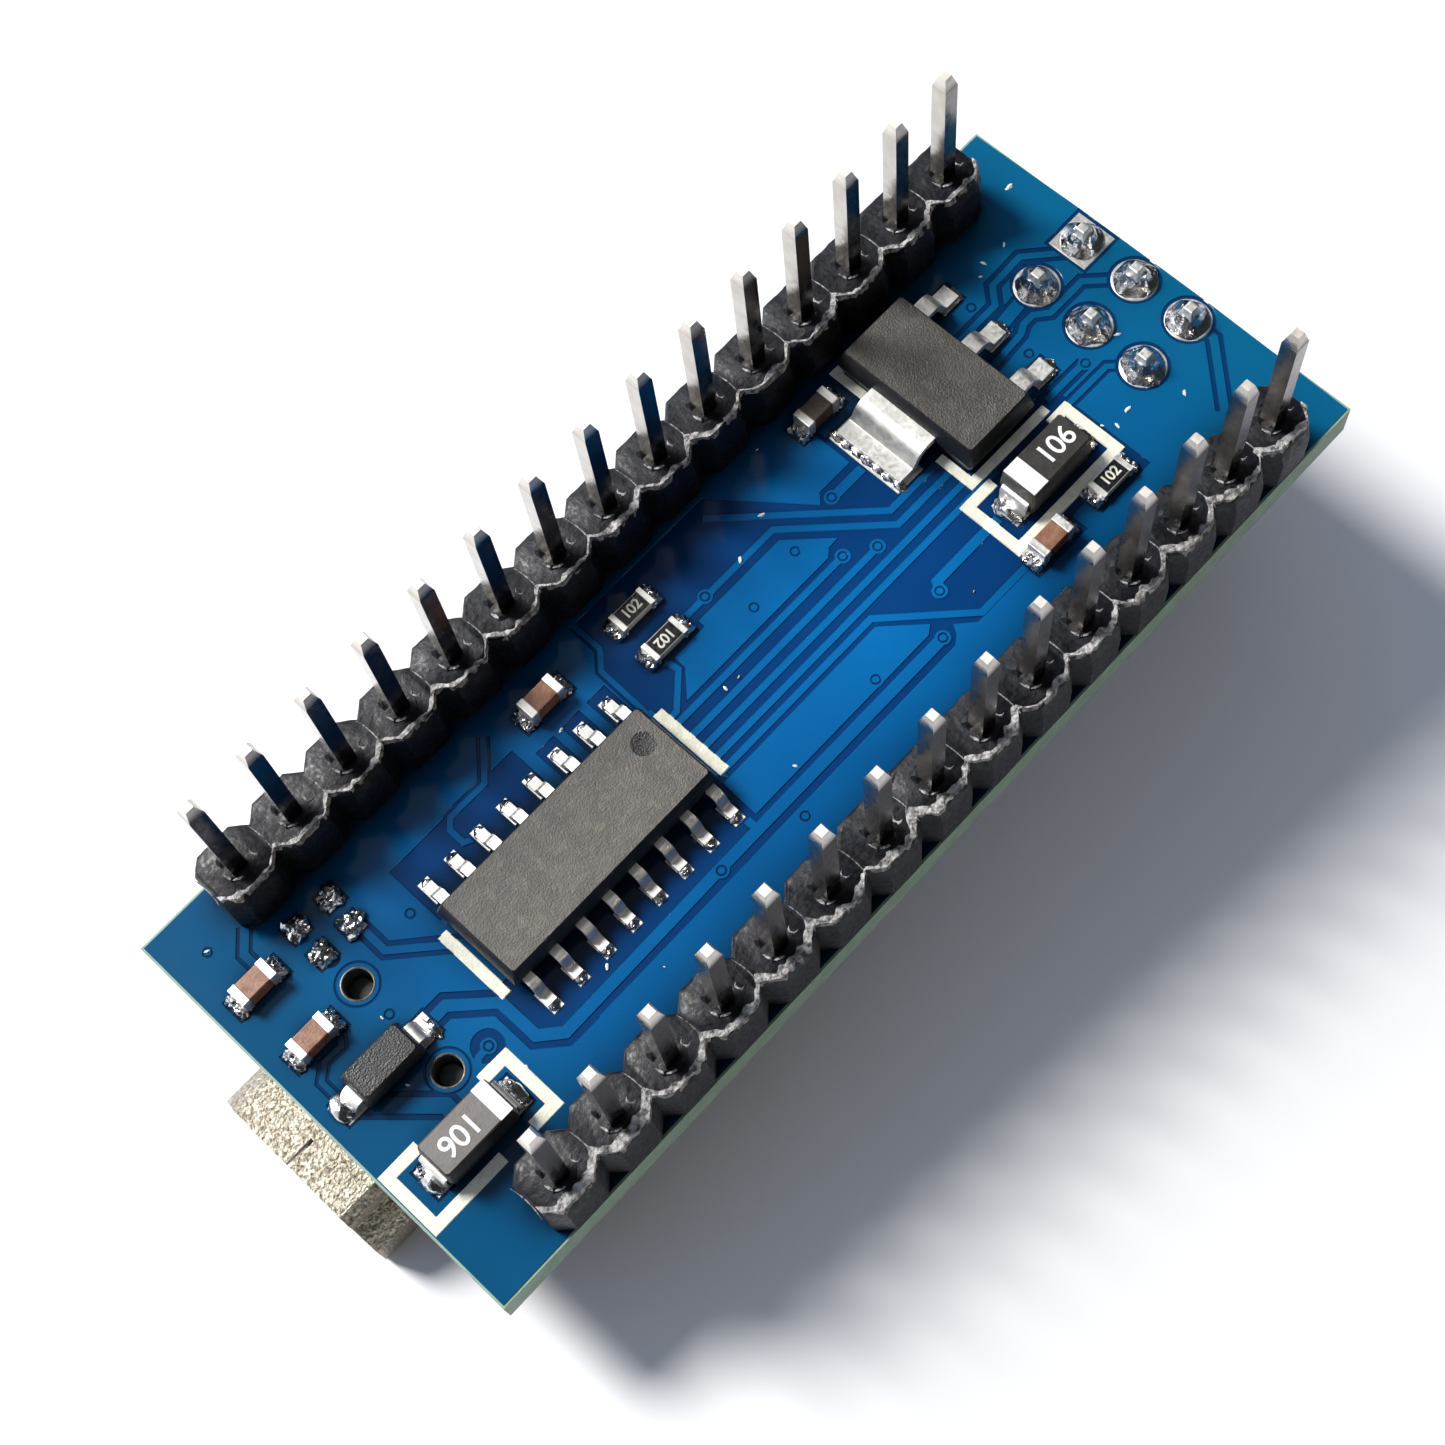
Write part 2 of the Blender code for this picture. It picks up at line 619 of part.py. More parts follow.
def add_leads(bm, body_edge, lead, count, pitch, turn):
    """A row of gull-wing leads along one side of a body, turned to face that way."""
    shoulder, toe, height, width, sheet = lead
    path = gull_wing(body_edge, shoulder, toe, height)
    for index in range(count):
        offset = (index - (count - 1) / 2) * pitch
        add_strip(bm, path, width, sheet, turned(turn, (0.0, offset, 0.0)))


def leaded_part(name, body, leads, material):
    """A body joined to its metal leads, as one solid."""
    obj = add_part(name, body, material)
    boolean(obj, finish_mesh(leads, name + "_leads"), "UNION")
    return obj


def make_usb_chip():
    leads = bmesh.new()
    for turn in (math.pi / 2, -math.pi / 2):
        add_leads(
            leads,
            USB_CHIP_BODY[1] / 2,
            USB_CHIP_LEAD,
            USB_CHIP_LEADS_PER_SIDE,
            USB_CHIP_LEAD_PITCH,
            turn,
        )
    body = drafted_box("usb_serial_chip", *USB_CHIP_BODY)
    chip = leaded_part("usb_serial_chip", body, leads, CHIP_EPOXY)
    stand_on(chip, USB_CHIP_AT, PIN_SIDE)


def make_regulator():
    """Three leads towards +X and the wide heat tab towards -X."""
    leads = bmesh.new()
    edge = REGULATOR_BODY[0] / 2
    add_leads(leads, edge, REGULATOR_LEAD, REGULATOR_LEADS, REGULATOR_LEAD_PITCH, 0.0)
    shoulder, toe, height, _, sheet = REGULATOR_LEAD
    tab_path = gull_wing(edge, shoulder, toe, height)
    add_strip(leads, tab_path, REGULATOR_TAB_WIDTH, sheet, turned(math.pi))
    body = drafted_box("voltage_regulator", *REGULATOR_BODY)
    regulator = leaded_part("voltage_regulator", body, leads, REGULATOR_EPOXY)
    stand_on(regulator, REGULATOR_AT, PIN_SIDE)


def make_tantalum_caps():
    """Moulded chip capacitors with a terminal folded down and under each end."""
    height, tuck, width, sheet = TANTALUM_TERMINAL
    end = TANTALUM_BODY[0] / 2
    path = [
        (end - EMBED, height),
        (end + GAP, height),
        (end + GAP, GAP + sheet),
        (end - tuck, GAP + sheet),
    ]
    for name, place in TANTALUM_AT.items():
        terminals = bmesh.new()
        for turn in (0.0, math.pi):
            add_strip(terminals, path, width, sheet, turned(turn))
        cap = leaded_part(name, drafted_box(name, *TANTALUM_BODY), terminals, TANTALUM_RESIN)
        stand_on(cap, place, PIN_SIDE)


def make_chip_part(name, material, size, place):
    """A chip part: a body with a slightly thicker plated band round each end."""
    length, width, height, band = size
    middle = (length - band, width - 2 * BAND_STEP, height - 2 * BAND_STEP)
    centre_height = GAP + height / 2
    body = box_mesh(name, middle, (0.0, 0.0, centre_height))
    bands = bmesh.new()
    for side in (-1, 1):
        place_of_band = (side * (length - band) / 2, 0.0, centre_height)
        add_box(bands, (band, width, height), place_of_band)
    stand_on(leaded_part(name, body, bands, material), place, PIN_SIDE)


def make_diode():
    leads = bmesh.new()
    for turn in (0.0, math.pi):
        add_leads(leads, DIODE_BODY[0] / 2, DIODE_LEAD, 1, 0.0, turn)
    body = drafted_box("rectifier_diode", *DIODE_BODY)
    stand_on(leaded_part("rectifier_diode", body, leads, DIODE_EPOXY), DIODE_AT, PIN_SIDE)


def make_controller():
    leads = bmesh.new()
    for quarter in range(4):
        add_leads(
            leads,
            CONTROLLER_BODY[0] / 2,
            CONTROLLER_LEAD,
            CONTROLLER_LEADS_PER_SIDE,
            CONTROLLER_LEAD_PITCH,
            quarter * math.pi / 2,
        )
    body = drafted_box("microcontroller", *CONTROLLER_BODY)
    controller = leaded_part("microcontroller", body, leads, CHIP_EPOXY)
    stand_on(controller, CONTROLLER_AT, COMPONENT_SIDE, CONTROLLER_AT[2])


def make_crystals():
    """Seam-welded metal lids on ceramic bases."""
    base_height = CRYSTAL_BASE[2]
    for name, (x, y, turn) in CRYSTAL_AT.items():
        base = box_mesh(name, CRYSTAL_BASE, (0.0, 0.0, GAP + base_height / 2))
        lid = bmesh.new()
        add_box(lid, CRYSTAL_LID_SIZE, (0.0, 0.0, GAP + base_height))
        stand_on(leaded_part(name, base, lid, CRYSTAL_METAL), (x, y), COMPONENT_SIDE, turn)


def make_leds():
    for name, y in LED_Y.items():
        base = bmesh.new()
        add_box(base, LED_BASE, (0.0, 0.0, GAP + LED_BASE[2] / 2))
        led = leaded_part(name, drafted_box(name, *LED_LENS), base, LED_RESIN)
        stand_on(led, (LED_X, y), COMPONENT_SIDE)


# ---------------------------------------------------------------- reset switch

def make_switch_base(axis):
    height = SWITCH_BASE_TOP - SWITCH_BASE_LOW
    size = (SWITCH_WIDTH, SWITCH_LENGTH, height)
    body = box_mesh("reset_switch_base", size, (0.0, 0.0, SWITCH_BASE_LOW + height / 2))
    leads = bmesh.new()
    for turn in (math.pi / 2, -math.pi / 2):
        add_leads(leads, SWITCH_LENGTH / 2, SWITCH_LEAD, 1, 0.0, turn)
    base = leaded_part("reset_switch_base", body, leads, SWITCH_PLASTIC)
    base.parent = axis
    well = bmesh.new()
    add_cylinder(well, WELL_RADIUS, WELL_FLOOR, THROUGH, segments=ROUND_SEGMENTS)
    boolean(base, finish_mesh(well, "reset_switch_well"), "DIFFERENCE")


def make_switch_dome(axis):
    """Snap dome under the button, turned from the arc of its section."""
    bend = (DOME_RADIUS ** 2 + DOME_HEIGHT ** 2) / (2 * DOME_HEIGHT)
    lower = []
    for ring in range(DOME_RINGS + 1):
        x = DOME_RADIUS * (DOME_RINGS - ring) / DOME_RINGS
        lower.append((x, math.sqrt(bend ** 2 - x ** 2) - bend + DOME_HEIGHT))
    upper = [(x, z + DOME_SHEET) for x, z in lower]
    mesh = profile_mesh("reset_switch_dome", upper[::-1] + lower)
    place = (0.0, 0.0, WELL_FLOOR + GAP)
    dome = add_part("reset_switch_dome", mesh, SWITCH_STEEL, place, parent=axis)
    turn_profile(dome, DOME_SEGMENTS)


def make_switch_cover(axis):
    """Sheet cover with a round hole and two skirts clipped down the long sides."""
    low = SWITCH_BASE_TOP + GAP
    size = (SWITCH_WIDTH + 2 * (COVER_SHEET + GAP), COVER_LENGTH, COVER_SHEET)
    sheet = box_mesh("reset_switch_cover", size, (0.0, 0.0, low + COVER_SHEET / 2))
    cover = add_part("reset_switch_cover", sheet, SWITCH_STEEL, parent=axis)

    skirts = bmesh.new()
    skirt_top = low + COVER_SHEET / 2
    skirt_size = (COVER_SHEET, SKIRT_LENGTH, skirt_top - SKIRT_LOW)
    for side in (-1, 1):
        x = side * (SWITCH_WIDTH / 2 + GAP + COVER_SHEET / 2)
        add_box(skirts, skirt_size, (x, 0.0, (skirt_top + SKIRT_LOW) / 2))
    boolean(cover, finish_mesh(skirts, "reset_cover_skirts"), "UNION")

    hole = bmesh.new()
    add_cylinder(hole, COVER_HOLE_RADIUS, 0.0, THROUGH, segments=ROUND_SEGMENTS)
    boolean(cover, finish_mesh(hole, "reset_cover_hole"), "DIFFERENCE")


def make_reset_button(axis):
    """Round plunger, held by its flange under the cover."""
    profile = [
        (0.0, BUTTON_TOP),
        (BUTTON_RADIUS - BUTTON_EDGE, BUTTON_TOP),
        (BUTTON_RADIUS, BUTTON_TOP - BUTTON_EDGE),
        (BUTTON_RADIUS, FLANGE_HIGH),
        (FLANGE_RADIUS, FLANGE_HIGH),
        (FLANGE_RADIUS, FLANGE_LOW),
        (0.0, FLANGE_LOW),
    ]
    mesh = profile_mesh("reset_button", profile)
    button = add_part("reset_button", mesh, BUTTON_PLASTIC, parent=axis)
    turn_profile(button, ROUND_SEGMENTS)


def make_reset_switch():
    """The button slides along the switch's axis, by BUTTON_TRAVEL towards the board."""
    dome_top = WELL_FLOOR + GAP + DOME_HEIGHT + DOME_SHEET
    assert FLANGE_LOW - BUTTON_TRAVEL > dome_top
    axis = empty("reset_switch_axis", parent=BOARD_ORIGIN)
    stand_on(axis, SWITCH_AT, COMPONENT_SIDE)
    make_switch_base(axis)
    make_switch_dome(axis)
    make_switch_cover(axis)
    make_reset_button(axis)


# ---------------------------------------------------------------- whole object

make_board()
make_strips()
make_pins()
make_icsp_header()
make_usb_shell()
make_usb_insert()
make_usb_chip()
make_regulator()
make_tantalum_caps()
for part_name, part_place in CERAMIC_AT.items():
    make_chip_part(part_name, CERAMIC, CERAMIC_SIZE, part_place)
for part_name, part_place in RESISTOR_AT.items():
    make_chip_part(part_name, RESISTOR_BODY, RESISTOR_SIZE, part_place)
make_diode()
make_controller()
make_crystals()
make_leds()
make_reset_switch()
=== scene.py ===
"""Looks for the microcontroller dev board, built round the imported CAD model.

Every length below is in millimetres in the board's own axes: the middle of the header pin
grid on the pin-side face is the origin, +X runs to the programming header, +Y to header row
A and +Z out of the pin side.  piece() turns that into metres in the frame's axes.
"""

import random
from math import cos, pi, radians, sin

import bmesh
import bpy
from mathutils import Matrix, Quaternion, Vector, geometry, noise


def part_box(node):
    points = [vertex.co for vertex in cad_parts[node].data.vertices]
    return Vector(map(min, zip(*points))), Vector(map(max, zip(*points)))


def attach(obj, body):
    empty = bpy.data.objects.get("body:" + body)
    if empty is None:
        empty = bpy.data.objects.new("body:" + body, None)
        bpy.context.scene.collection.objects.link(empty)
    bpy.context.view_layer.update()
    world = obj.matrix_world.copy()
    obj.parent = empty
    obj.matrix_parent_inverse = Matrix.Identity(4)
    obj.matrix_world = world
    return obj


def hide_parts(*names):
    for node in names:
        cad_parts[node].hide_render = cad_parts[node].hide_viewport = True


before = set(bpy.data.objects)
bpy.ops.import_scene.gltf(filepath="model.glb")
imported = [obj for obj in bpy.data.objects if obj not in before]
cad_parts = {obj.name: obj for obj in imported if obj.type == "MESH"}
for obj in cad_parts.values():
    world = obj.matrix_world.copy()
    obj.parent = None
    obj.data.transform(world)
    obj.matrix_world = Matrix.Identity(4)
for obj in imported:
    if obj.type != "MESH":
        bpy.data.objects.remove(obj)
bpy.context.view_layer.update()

MM = 0.001
random.seed(7)

# ---- places from the frame

STRIP_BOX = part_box("header_strip_a")
ORIGIN = Vector(((STRIP_BOX[0].x + STRIP_BOX[1].x) / 2, 0.0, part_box("circuit_board")[1].z))


def local_box(node):
    return [(corner - ORIGIN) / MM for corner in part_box(node)]


def middle(node):
    low, high = local_box(node)
    return (low + high) / 2


def footprint(node):
    low, high = local_box(node)
    return high.x - low.x, high.y - low.y


def nodes_named(start):
    return [name for name in sorted(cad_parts) if name.startswith(start)]


BOARD_LOW, BOARD_HIGH = local_box("circuit_board")
THICKNESS = BOARD_HIGH.z - BOARD_LOW.z
STRIP_TOP = local_box("header_strip_a")[1].z
PIN_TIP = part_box("header_pin_a01")[1].z
PIN_X = [middle(name).x for name in nodes_named("header_pin_a")]
PITCH = PIN_X[1] - PIN_X[0]
ROW_Y = middle("header_strip_a").y
HEADER_PINS = [(x, y) for y in (ROW_Y, -ROW_Y) for x in PIN_X]
ICSP_LOW, ICSP_HIGH = local_box("icsp_header")
ICSP = (ICSP_LOW + ICSP_HIGH) / 2
ICSP_PINS = [(ICSP.x + column * PITCH / 2, ICSP.y + row * PITCH)
             for column in (-1, 1) for row in (-1, 0, 1)]
ICSP_SQUARE_PAD = ICSP_PINS[-1]
SHELL_LOW, SHELL_HIGH = local_box("usb_shell")
USB_Y = (SHELL_LOW.y + SHELL_HIGH.y) / 2
SHELL_FEET_X = (SHELL_LOW.x + 3.0, SHELL_HIGH.x - 1.4)
USB_CONTACT_Y = [(index - 2) * 0.8 - USB_Y for index in range(5)]
PEG_HOLES = [(-17.75, USB_Y + 2.2), (-17.75, USB_Y - 2.2)]
PEG_HOLE_RADIUS = 0.56
HEADER_LAND_RADIUS = 0.82
HEADER_HOLE_RADIUS = 0.5
ICSP_HOLE_RADIUS = 0.48

CHIP = middle("usb_serial_chip")
CHIP_LEAD_X = [CHIP.x + (index - 3.5) * 1.27 for index in range(8)]
REGULATOR_AT = middle("voltage_regulator")
REGULATOR_LEAD_Y = (-2.3, 0.0, 2.3)
DIODE = middle("rectifier_diode")
CONTROLLER = middle("microcontroller")
CONTROLLER_LEADS = [(index - 3.5) * 0.8 for index in range(8)]
SWITCH = middle("reset_switch_base")
TANTALUMS = ("tantalum_cap_input", "tantalum_cap_output")
CERAMICS = nodes_named("ceramic_cap")
DARK_CERAMIC = "ceramic_cap_regulator"
RESISTORS = nodes_named("resistor")
LEDS = nodes_named("led_")
SPARE_LANDS = ((-17.85, 5.38), (-16.3, 5.3), (-16.45, 4.05), (-17.85, 4.05))

PIN_SIDE = Matrix.Identity(4)
COMPONENT_SIDE = Matrix.Translation((0, 0, -THICKNESS)) @ Matrix.Rotation(pi, 4, "X")

# Heights above the laminate
BARE_LEVEL = 0.006
COPPER_LEVEL = 0.036
PAD_LEVEL = 0.030
PRINT_LEVEL = 0.055

EDGE_SLOPE = 0.03
BORDER = 0.09

# Moulded bodies: length, width, underside, parting line, top, draft
BODIES = {
    "usb_serial_chip": (9.9, 3.9, 0.15, 0.80, 1.55, 0.18),
    "voltage_regulator": (3.5, 6.5, 0.10, 0.85, 1.65, 0.20),
    "tantalum": (3.2, 1.6, 0.10, 0.85, 1.63, 0.06),
    "rectifier_diode": (2.65, 1.5, 0.06, 0.55, 1.12, 0.13),
    "microcontroller": (7.0, 7.0, 0.10, 0.60, 1.10, 0.10),
}


# ---- materials

def add_node(tree, kind, inputs=(), output=0, **settings):
    """One output of a new shader node; each input is a value or another node's output."""
    node = tree.nodes.new("ShaderNode" + kind)
    for setting, value in settings.items():
        setattr(node, setting, value)
    for socket, value in dict(inputs).items():
        if isinstance(value, bpy.types.NodeSocket):
            tree.links.new(value, node.inputs[socket])
        else:
            node.inputs[socket].default_value = value
    return node.outputs[output]


def mix_colours(tree, factor, *pair):
    """The first colour where factor is 0, the second where it is 1."""
    first, second = ((*value, 1.0) if isinstance(value, tuple) else value for value in pair)
    return add_node(tree, "Mix", {0: factor, 6: first, 7: second}, 2, data_type="RGBA")


def math_node(tree, operation, first, second=0.0):
    return add_node(tree, "Math", {0: first, 1: second}, operation=operation, use_clamp=True)


def dot_node(tree, first, second):
    return add_node(tree, "VectorMath", {0: first, 1: second}, "Value", operation="DOT_PRODUCT")


def ramp(tree, value, start, stop, low=0.0, high=1.0):
    """Low up to start, high from stop, straight between."""
    return add_node(tree, "MapRange", {
        "Value": value, "From Min": start, "From Max": stop, "To Min": low, "To Max": high})


def one_axis(tree, kind, output, axis):
    vector = add_node(tree, kind, output=output)
    return add_node(tree, "SeparateXYZ", {0: vector}, axis)


def noise_value(tree, size, detail=3.0, low=0.35, high=0.65):
    """Noise with features of about this size in millimetres, stretched to fill 0 to 1."""
    place = add_node(tree, "TexCoord", output="Object")
    texture = add_node(tree, "TexNoise", {
        "Scale": 1 / (size * MM), "Detail": detail, "Vector": place})
    return ramp(tree, texture, low, high)


def end_mask(tree, side):
    """0 over the middle of the board, rising to 1 at its end on this side."""
    along = one_axis(tree, "TexCoord", "Object", "X")
    return ramp(tree, along, side * 12 * MM, side * 23 * MM)


def fleck_mask(tree):
    return math_node(tree, "MULTIPLY", noise_value(tree, 0.45, 6.0, 0.56, 0.64), 0.8)


def upright_mask(tree):
    """Most of 1 on faces that stand upright, 0 on level ones."""
    level = math_node(tree, "ABSOLUTE", one_axis(tree, "NewGeometry", "True Normal", "Z"))
    return ramp(tree, level, 0.0, 1.0, 0.85, 0.0)


def wear_mask(tree):
    """Patches of 1 near corners and ridges, 0 on flat ground."""
    rounded = add_node(tree, "Bevel", {"Radius": 0.07 * MM}, samples=4)
    plain = add_node(tree, "NewGeometry", output="Normal")
    edges = ramp(tree, dot_node(tree, rounded, plain), 0.99, 0.86)
    return math_node(tree, "MULTIPLY", edges, noise_value(tree, 0.25))


def far_side_mask(tree):
    """Most of 1 on faces turned to -Y, away from the window, for painted shade on that side."""
    return math_node(tree, "MULTIPLY", one_axis(tree, "NewGeometry", "True Normal", "Y"), -0.85)


def shelter_mask(tree):
    """Rises in corners that taller parts shelter, where it darkens the colour as painted shade."""
    open_sky = add_node(tree, "AmbientOcclusion", {"Distance": 5.0 * MM}, "AO", samples=6)
    return ramp(tree, open_sky, 0.5, 0.9, 0.92, 0.0)


def tip_mask(tree):
    """1 on the last of the header pins, where the cut ends are rough and bright: the extra
    roughness is real, the lighter colour partly a painted highlight.
    """
    height = one_axis(tree, "TexCoord", "Object", "Z")
    return ramp(tree, height, PIN_TIP - 0.5 * MM, PIN_TIP - 0.2 * MM)


MASKS = {  # where a finish's extra tones show, each over those before it
    "usb_end": lambda tree: end_mask(tree, -1), "header_end": lambda tree: end_mask(tree, 1),
    "flecks": fleck_mask, "upright": upright_mask, "wear": wear_mask,
    "far_side": far_side_mask, "shelter": shelter_mask, "tips": tip_mask,
}


def surface(name, colour, roughness, metallic=0.0, patch=1.5, tint=0.12, grain=0.08, bump=0.15,
            depth=0.01, rough_spread=0.08, second=None, shine=0.5, **tones):
    """A finish with blotchy colour, uneven roughness, fine relief and any tones that MASKS
    places.  Patch, grain and depth are in millimetres."""
    material = bpy.data.materials.new(name)
    material.use_nodes = True
    tree = material.node_tree
    dark = tuple(channel * (1 - tint) for channel in colour)
    light = tuple(min(1.0, channel * (1 + tint)) for channel in (second or colour))
    shade = mix_colours(tree, noise_value(tree, patch), dark, light)
    for kind, mask in MASKS.items():
        if kind in tones:
            shade = mix_colours(tree, mask(tree), shade, tones[kind])
    matte = ramp(tree, noise_value(tree, patch / 3), 0.0, 1.0,
                 roughness - rough_spread, roughness + rough_spread)
    if "tips" in tones:
        matte = math_node(tree, "ADD", matte, math_node(tree, "MULTIPLY", tip_mask(tree), 0.4))
    relief = add_node(tree, "Bump", {
        "Strength": bump, "Distance": depth * MM, "Height": noise_value(tree, grain, 4.0)})
    shader = tree.nodes["Principled BSDF"]
    shader.inputs["Metallic"].default_value = metallic
    shader.inputs["Specular IOR Level"].default_value = shine
    for socket, value in (("Base Color", shade), ("Roughness", matte), ("Normal", relief)):
        tree.links.new(value, shader.inputs[socket])
    return material


# Near-black blue laid over the solder mask in sheltered corners: painted shade.
GRIME = (0.001, 0.008, 0.016)
# Both mask finishes darken towards the two ends of the board: painted shade.
MASK_COPPER = surface(
    "mask_over_copper", (0.0022, 0.118, 0.345), 0.12, patch=9.0, tint=0.10, grain=1.2, bump=0.06,
    rough_spread=0.03, second=(0.0022, 0.13, 0.36), shine=0.28, usb_end=(0.002, 0.056, 0.112),
    header_end=(0.003, 0.108, 0.215), shelter=GRIME)
MASK_BARE = surface(
    "mask_over_laminate", (0.002, 0.046, 0.18), 0.12, patch=7.0, tint=0.10, grain=0.5, bump=0.10,
    rough_spread=0.03, shine=0.28, usb_end=(0.002, 0.024, 0.07), header_end=(0.002, 0.04, 0.13),
    shelter=GRIME)
LAMINATE = surface(
    "laminate_edge", (0.25, 0.36, 0.28), 0.6, patch=0.7, tint=0.10, grain=0.1, bump=0.3,
    depth=0.015)
PRINT = surface(
    "white_print", (0.78, 0.76, 0.62), 0.55, patch=0.4, tint=0.10, bump=0.5, depth=0.015)
TIN = surface("tinned_lead", (0.86, 0.85, 0.82), 0.5, 1.0, patch=0.5, tint=0.10, grain=0.3)
SOLDER = surface(
    "solder", (0.70, 0.70, 0.72), 0.16, 1.0, patch=0.25, tint=0.2, grain=0.25, bump=0.5,
    depth=0.03)
# The pin tips are lighter in colour as well as rougher: the lighter colour is partly a painted
# highlight.
# The pins' faces turned to -Y are painted near-black: painted shade.
PIN_PLATE = surface(
    "pin_plate", (0.52, 0.475, 0.42), 0.2, 1.0, patch=0.8, tint=0.10, grain=0.5, bump=0.12,
    rough_spread=0.06, far_side=(0.10, 0.085, 0.09), tips=(0.88, 0.84, 0.78))
NICKEL = surface(
    "shell_nickel", (0.26, 0.222, 0.165), 0.36, 0.9, patch=0.16, tint=0.30, grain=0.11, bump=1.0,
    depth=0.03, rough_spread=0.12, second=(0.50, 0.45, 0.365), wear=(0.75, 0.72, 0.66),
    upright=(0.30, 0.265, 0.21))
STRIP = surface(
    "strip_plastic", (0.0055, 0.006, 0.009), 0.46, patch=0.5, tint=0.4, grain=0.3, bump=0.35,
    depth=0.03, rough_spread=0.12, wear=(0.035, 0.035, 0.045), flecks=(0.016, 0.0165, 0.02),
    shine=0.3)
# Pale torn plastic for the burr, also used for the crescents round the pins, which are a painted
# highlight.
STRIP_TORN = surface(
    "torn_plastic", (0.20, 0.195, 0.19), 0.6, patch=0.2, tint=0.6, grain=0.15, bump=1.0,
    depth=0.05, second=(0.34, 0.33, 0.32))
EPOXY = surface(
    "chip_epoxy", (0.115, 0.106, 0.092), 0.5, patch=0.7, grain=0.07, bump=0.9, depth=0.02,
    flecks=(0.16, 0.14, 0.11))
EPOXY_BLACK = surface(
    "black_epoxy", (0.012, 0.012, 0.013), 0.4, patch=0.8, tint=0.25, grain=0.07, bump=0.6,
    depth=0.015, wear=(0.07, 0.065, 0.06))
REGULATOR = surface(
    "regulator_epoxy", (0.06, 0.056, 0.048), 0.42, patch=1.0, tint=0.2, grain=0.07, bump=0.8,
    depth=0.02, wear=(0.13, 0.125, 0.11), flecks=(0.085, 0.078, 0.065))
TANTALUM_GREY = surface(
    "tantalum_grey", (0.165, 0.15, 0.135), 0.42, patch=0.5, tint=0.1, grain=0.06, bump=0.3)
TANTALUM_DARK = surface(
    "tantalum_dark", (0.035, 0.032, 0.03), 0.4, patch=0.5, tint=0.15, grain=0.06, bump=0.3)
BAND = surface("polarity_band", (0.80, 0.80, 0.78), 0.45, patch=0.5, tint=0.05)
CERAMIC = surface(
    "ceramic_tan", (0.24, 0.105, 0.058), 0.35, patch=0.4, tint=0.15, bump=0.25,
    second=(0.27, 0.14, 0.085))
# A darker copy of the ceramic finish for the regulator's capacitor: painted shade.
CERAMIC_DARK = surface("ceramic_dark", (0.085, 0.06, 0.045), 0.35, patch=0.4, tint=0.15, bump=0.25)
GLAZE = surface("resistor_glaze", (0.012, 0.012, 0.014), 0.3, patch=0.4, tint=0.2, bump=0.2)
ALUMINA = surface("alumina", (0.62, 0.60, 0.55), 0.6, patch=0.3, bump=0.3)
CRYSTAL_LID = surface("crystal_lid", (0.74, 0.72, 0.66), 0.3, 1.0, patch=0.8, grain=0.2)
SHEET_STEEL = surface("sheet_steel", (0.66, 0.65, 0.62), 0.3, 1.0, patch=0.5, grain=0.1)
SWITCH_BODY = surface("switch_plastic", (0.025, 0.025, 0.027), 0.5, wear=(0.08, 0.08, 0.08))
BUTTON = surface("button_plastic", (0.66, 0.64, 0.58), 0.4, patch=0.8, tint=0.08)
LENS = surface("led_lens", (0.78, 0.74, 0.50), 0.18, patch=0.4, tint=0.08, bump=0.1)
INSERT = surface("insert_plastic", (0.02, 0.02, 0.02), 0.5)
BARREL = surface(
    "dull_barrel", (0.16, 0.17, 0.15), 0.45, 0.8, patch=0.3, tint=0.3, grain=0.2, bump=0.4)
# Pale flux drops: real residue, with a whitish colour that is partly a painted glint.
FLUX = surface("flux_residue", (0.75, 0.80, 0.85), 0.1, patch=0.2, tint=0.1, bump=0.3)


# ---- mesh tools (millimetres)

def show(name, data, **settings):
    """Sets up some data and puts it into the scene as a new object."""
    for setting, value in settings.items():
        setattr(data, setting, value)
    obj = bpy.data.objects.new(name, data)
    bpy.context.scene.collection.objects.link(obj)
    return obj


def piece(name, bm, materials, bevel=0.0, angle=35, node=None):
    """Finishes a mesh, puts it in the frame, and makes it ride on the board."""
    bmesh.ops.recalc_face_normals(bm, faces=bm.faces)
    to_frame = Matrix.Translation(ORIGIN) @ Matrix.Scale(MM, 4)
    bmesh.ops.transform(bm, matrix=to_frame, verts=bm.verts)
    mesh = bpy.data.meshes.new(name)
    bm.to_mesh(mesh)
    bm.free()
    for material in materials:
        mesh.materials.append(material)
    mesh.shade_smooth()
    mesh.set_sharp_from_angle(angle=radians(angle))
    obj = show(name, mesh)
    if bevel:
        soften(obj, bevel)
    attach(obj, "board")
    if node:
        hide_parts(node)


def soften(obj, width):
    rounding = obj.modifiers.new("soft_edges", "BEVEL")
    rounding.width = width * MM
    rounding.segments = 2
    rounding.limit_method = "ANGLE"
    rounding.angle_limit = radians(28)
    rounding.harden_normals = True


def repaint(node, material, bevel=0.0):
    """Gives a CAD node its finish, and softer edges."""
    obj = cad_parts[node]
    obj.data.materials.clear()
    obj.data.materials.append(material)
    if bevel:
        soften(obj, bevel)


def paint(bm, start, slot):
    """Gives the faces made since start a material slot."""
    bm.faces.ensure_lookup_table()
    for face in bm.faces[start:]:
        face.material_index = slot


def paint_sides(bm, slot):
    """Gives every upright wall a second slot, so moulded sides can be darker than tops."""
    bm.normal_update()
    for face in bm.faces:
        if abs(face.normal.z) < 0.9 and face.material_index == 0:
            face.material_index = slot


def add_mesh(bm, mesh, slot):
    start = len(bm.faces)
    bm.from_mesh(mesh)
    bpy.data.meshes.remove(mesh)
    paint(bm, start, slot)


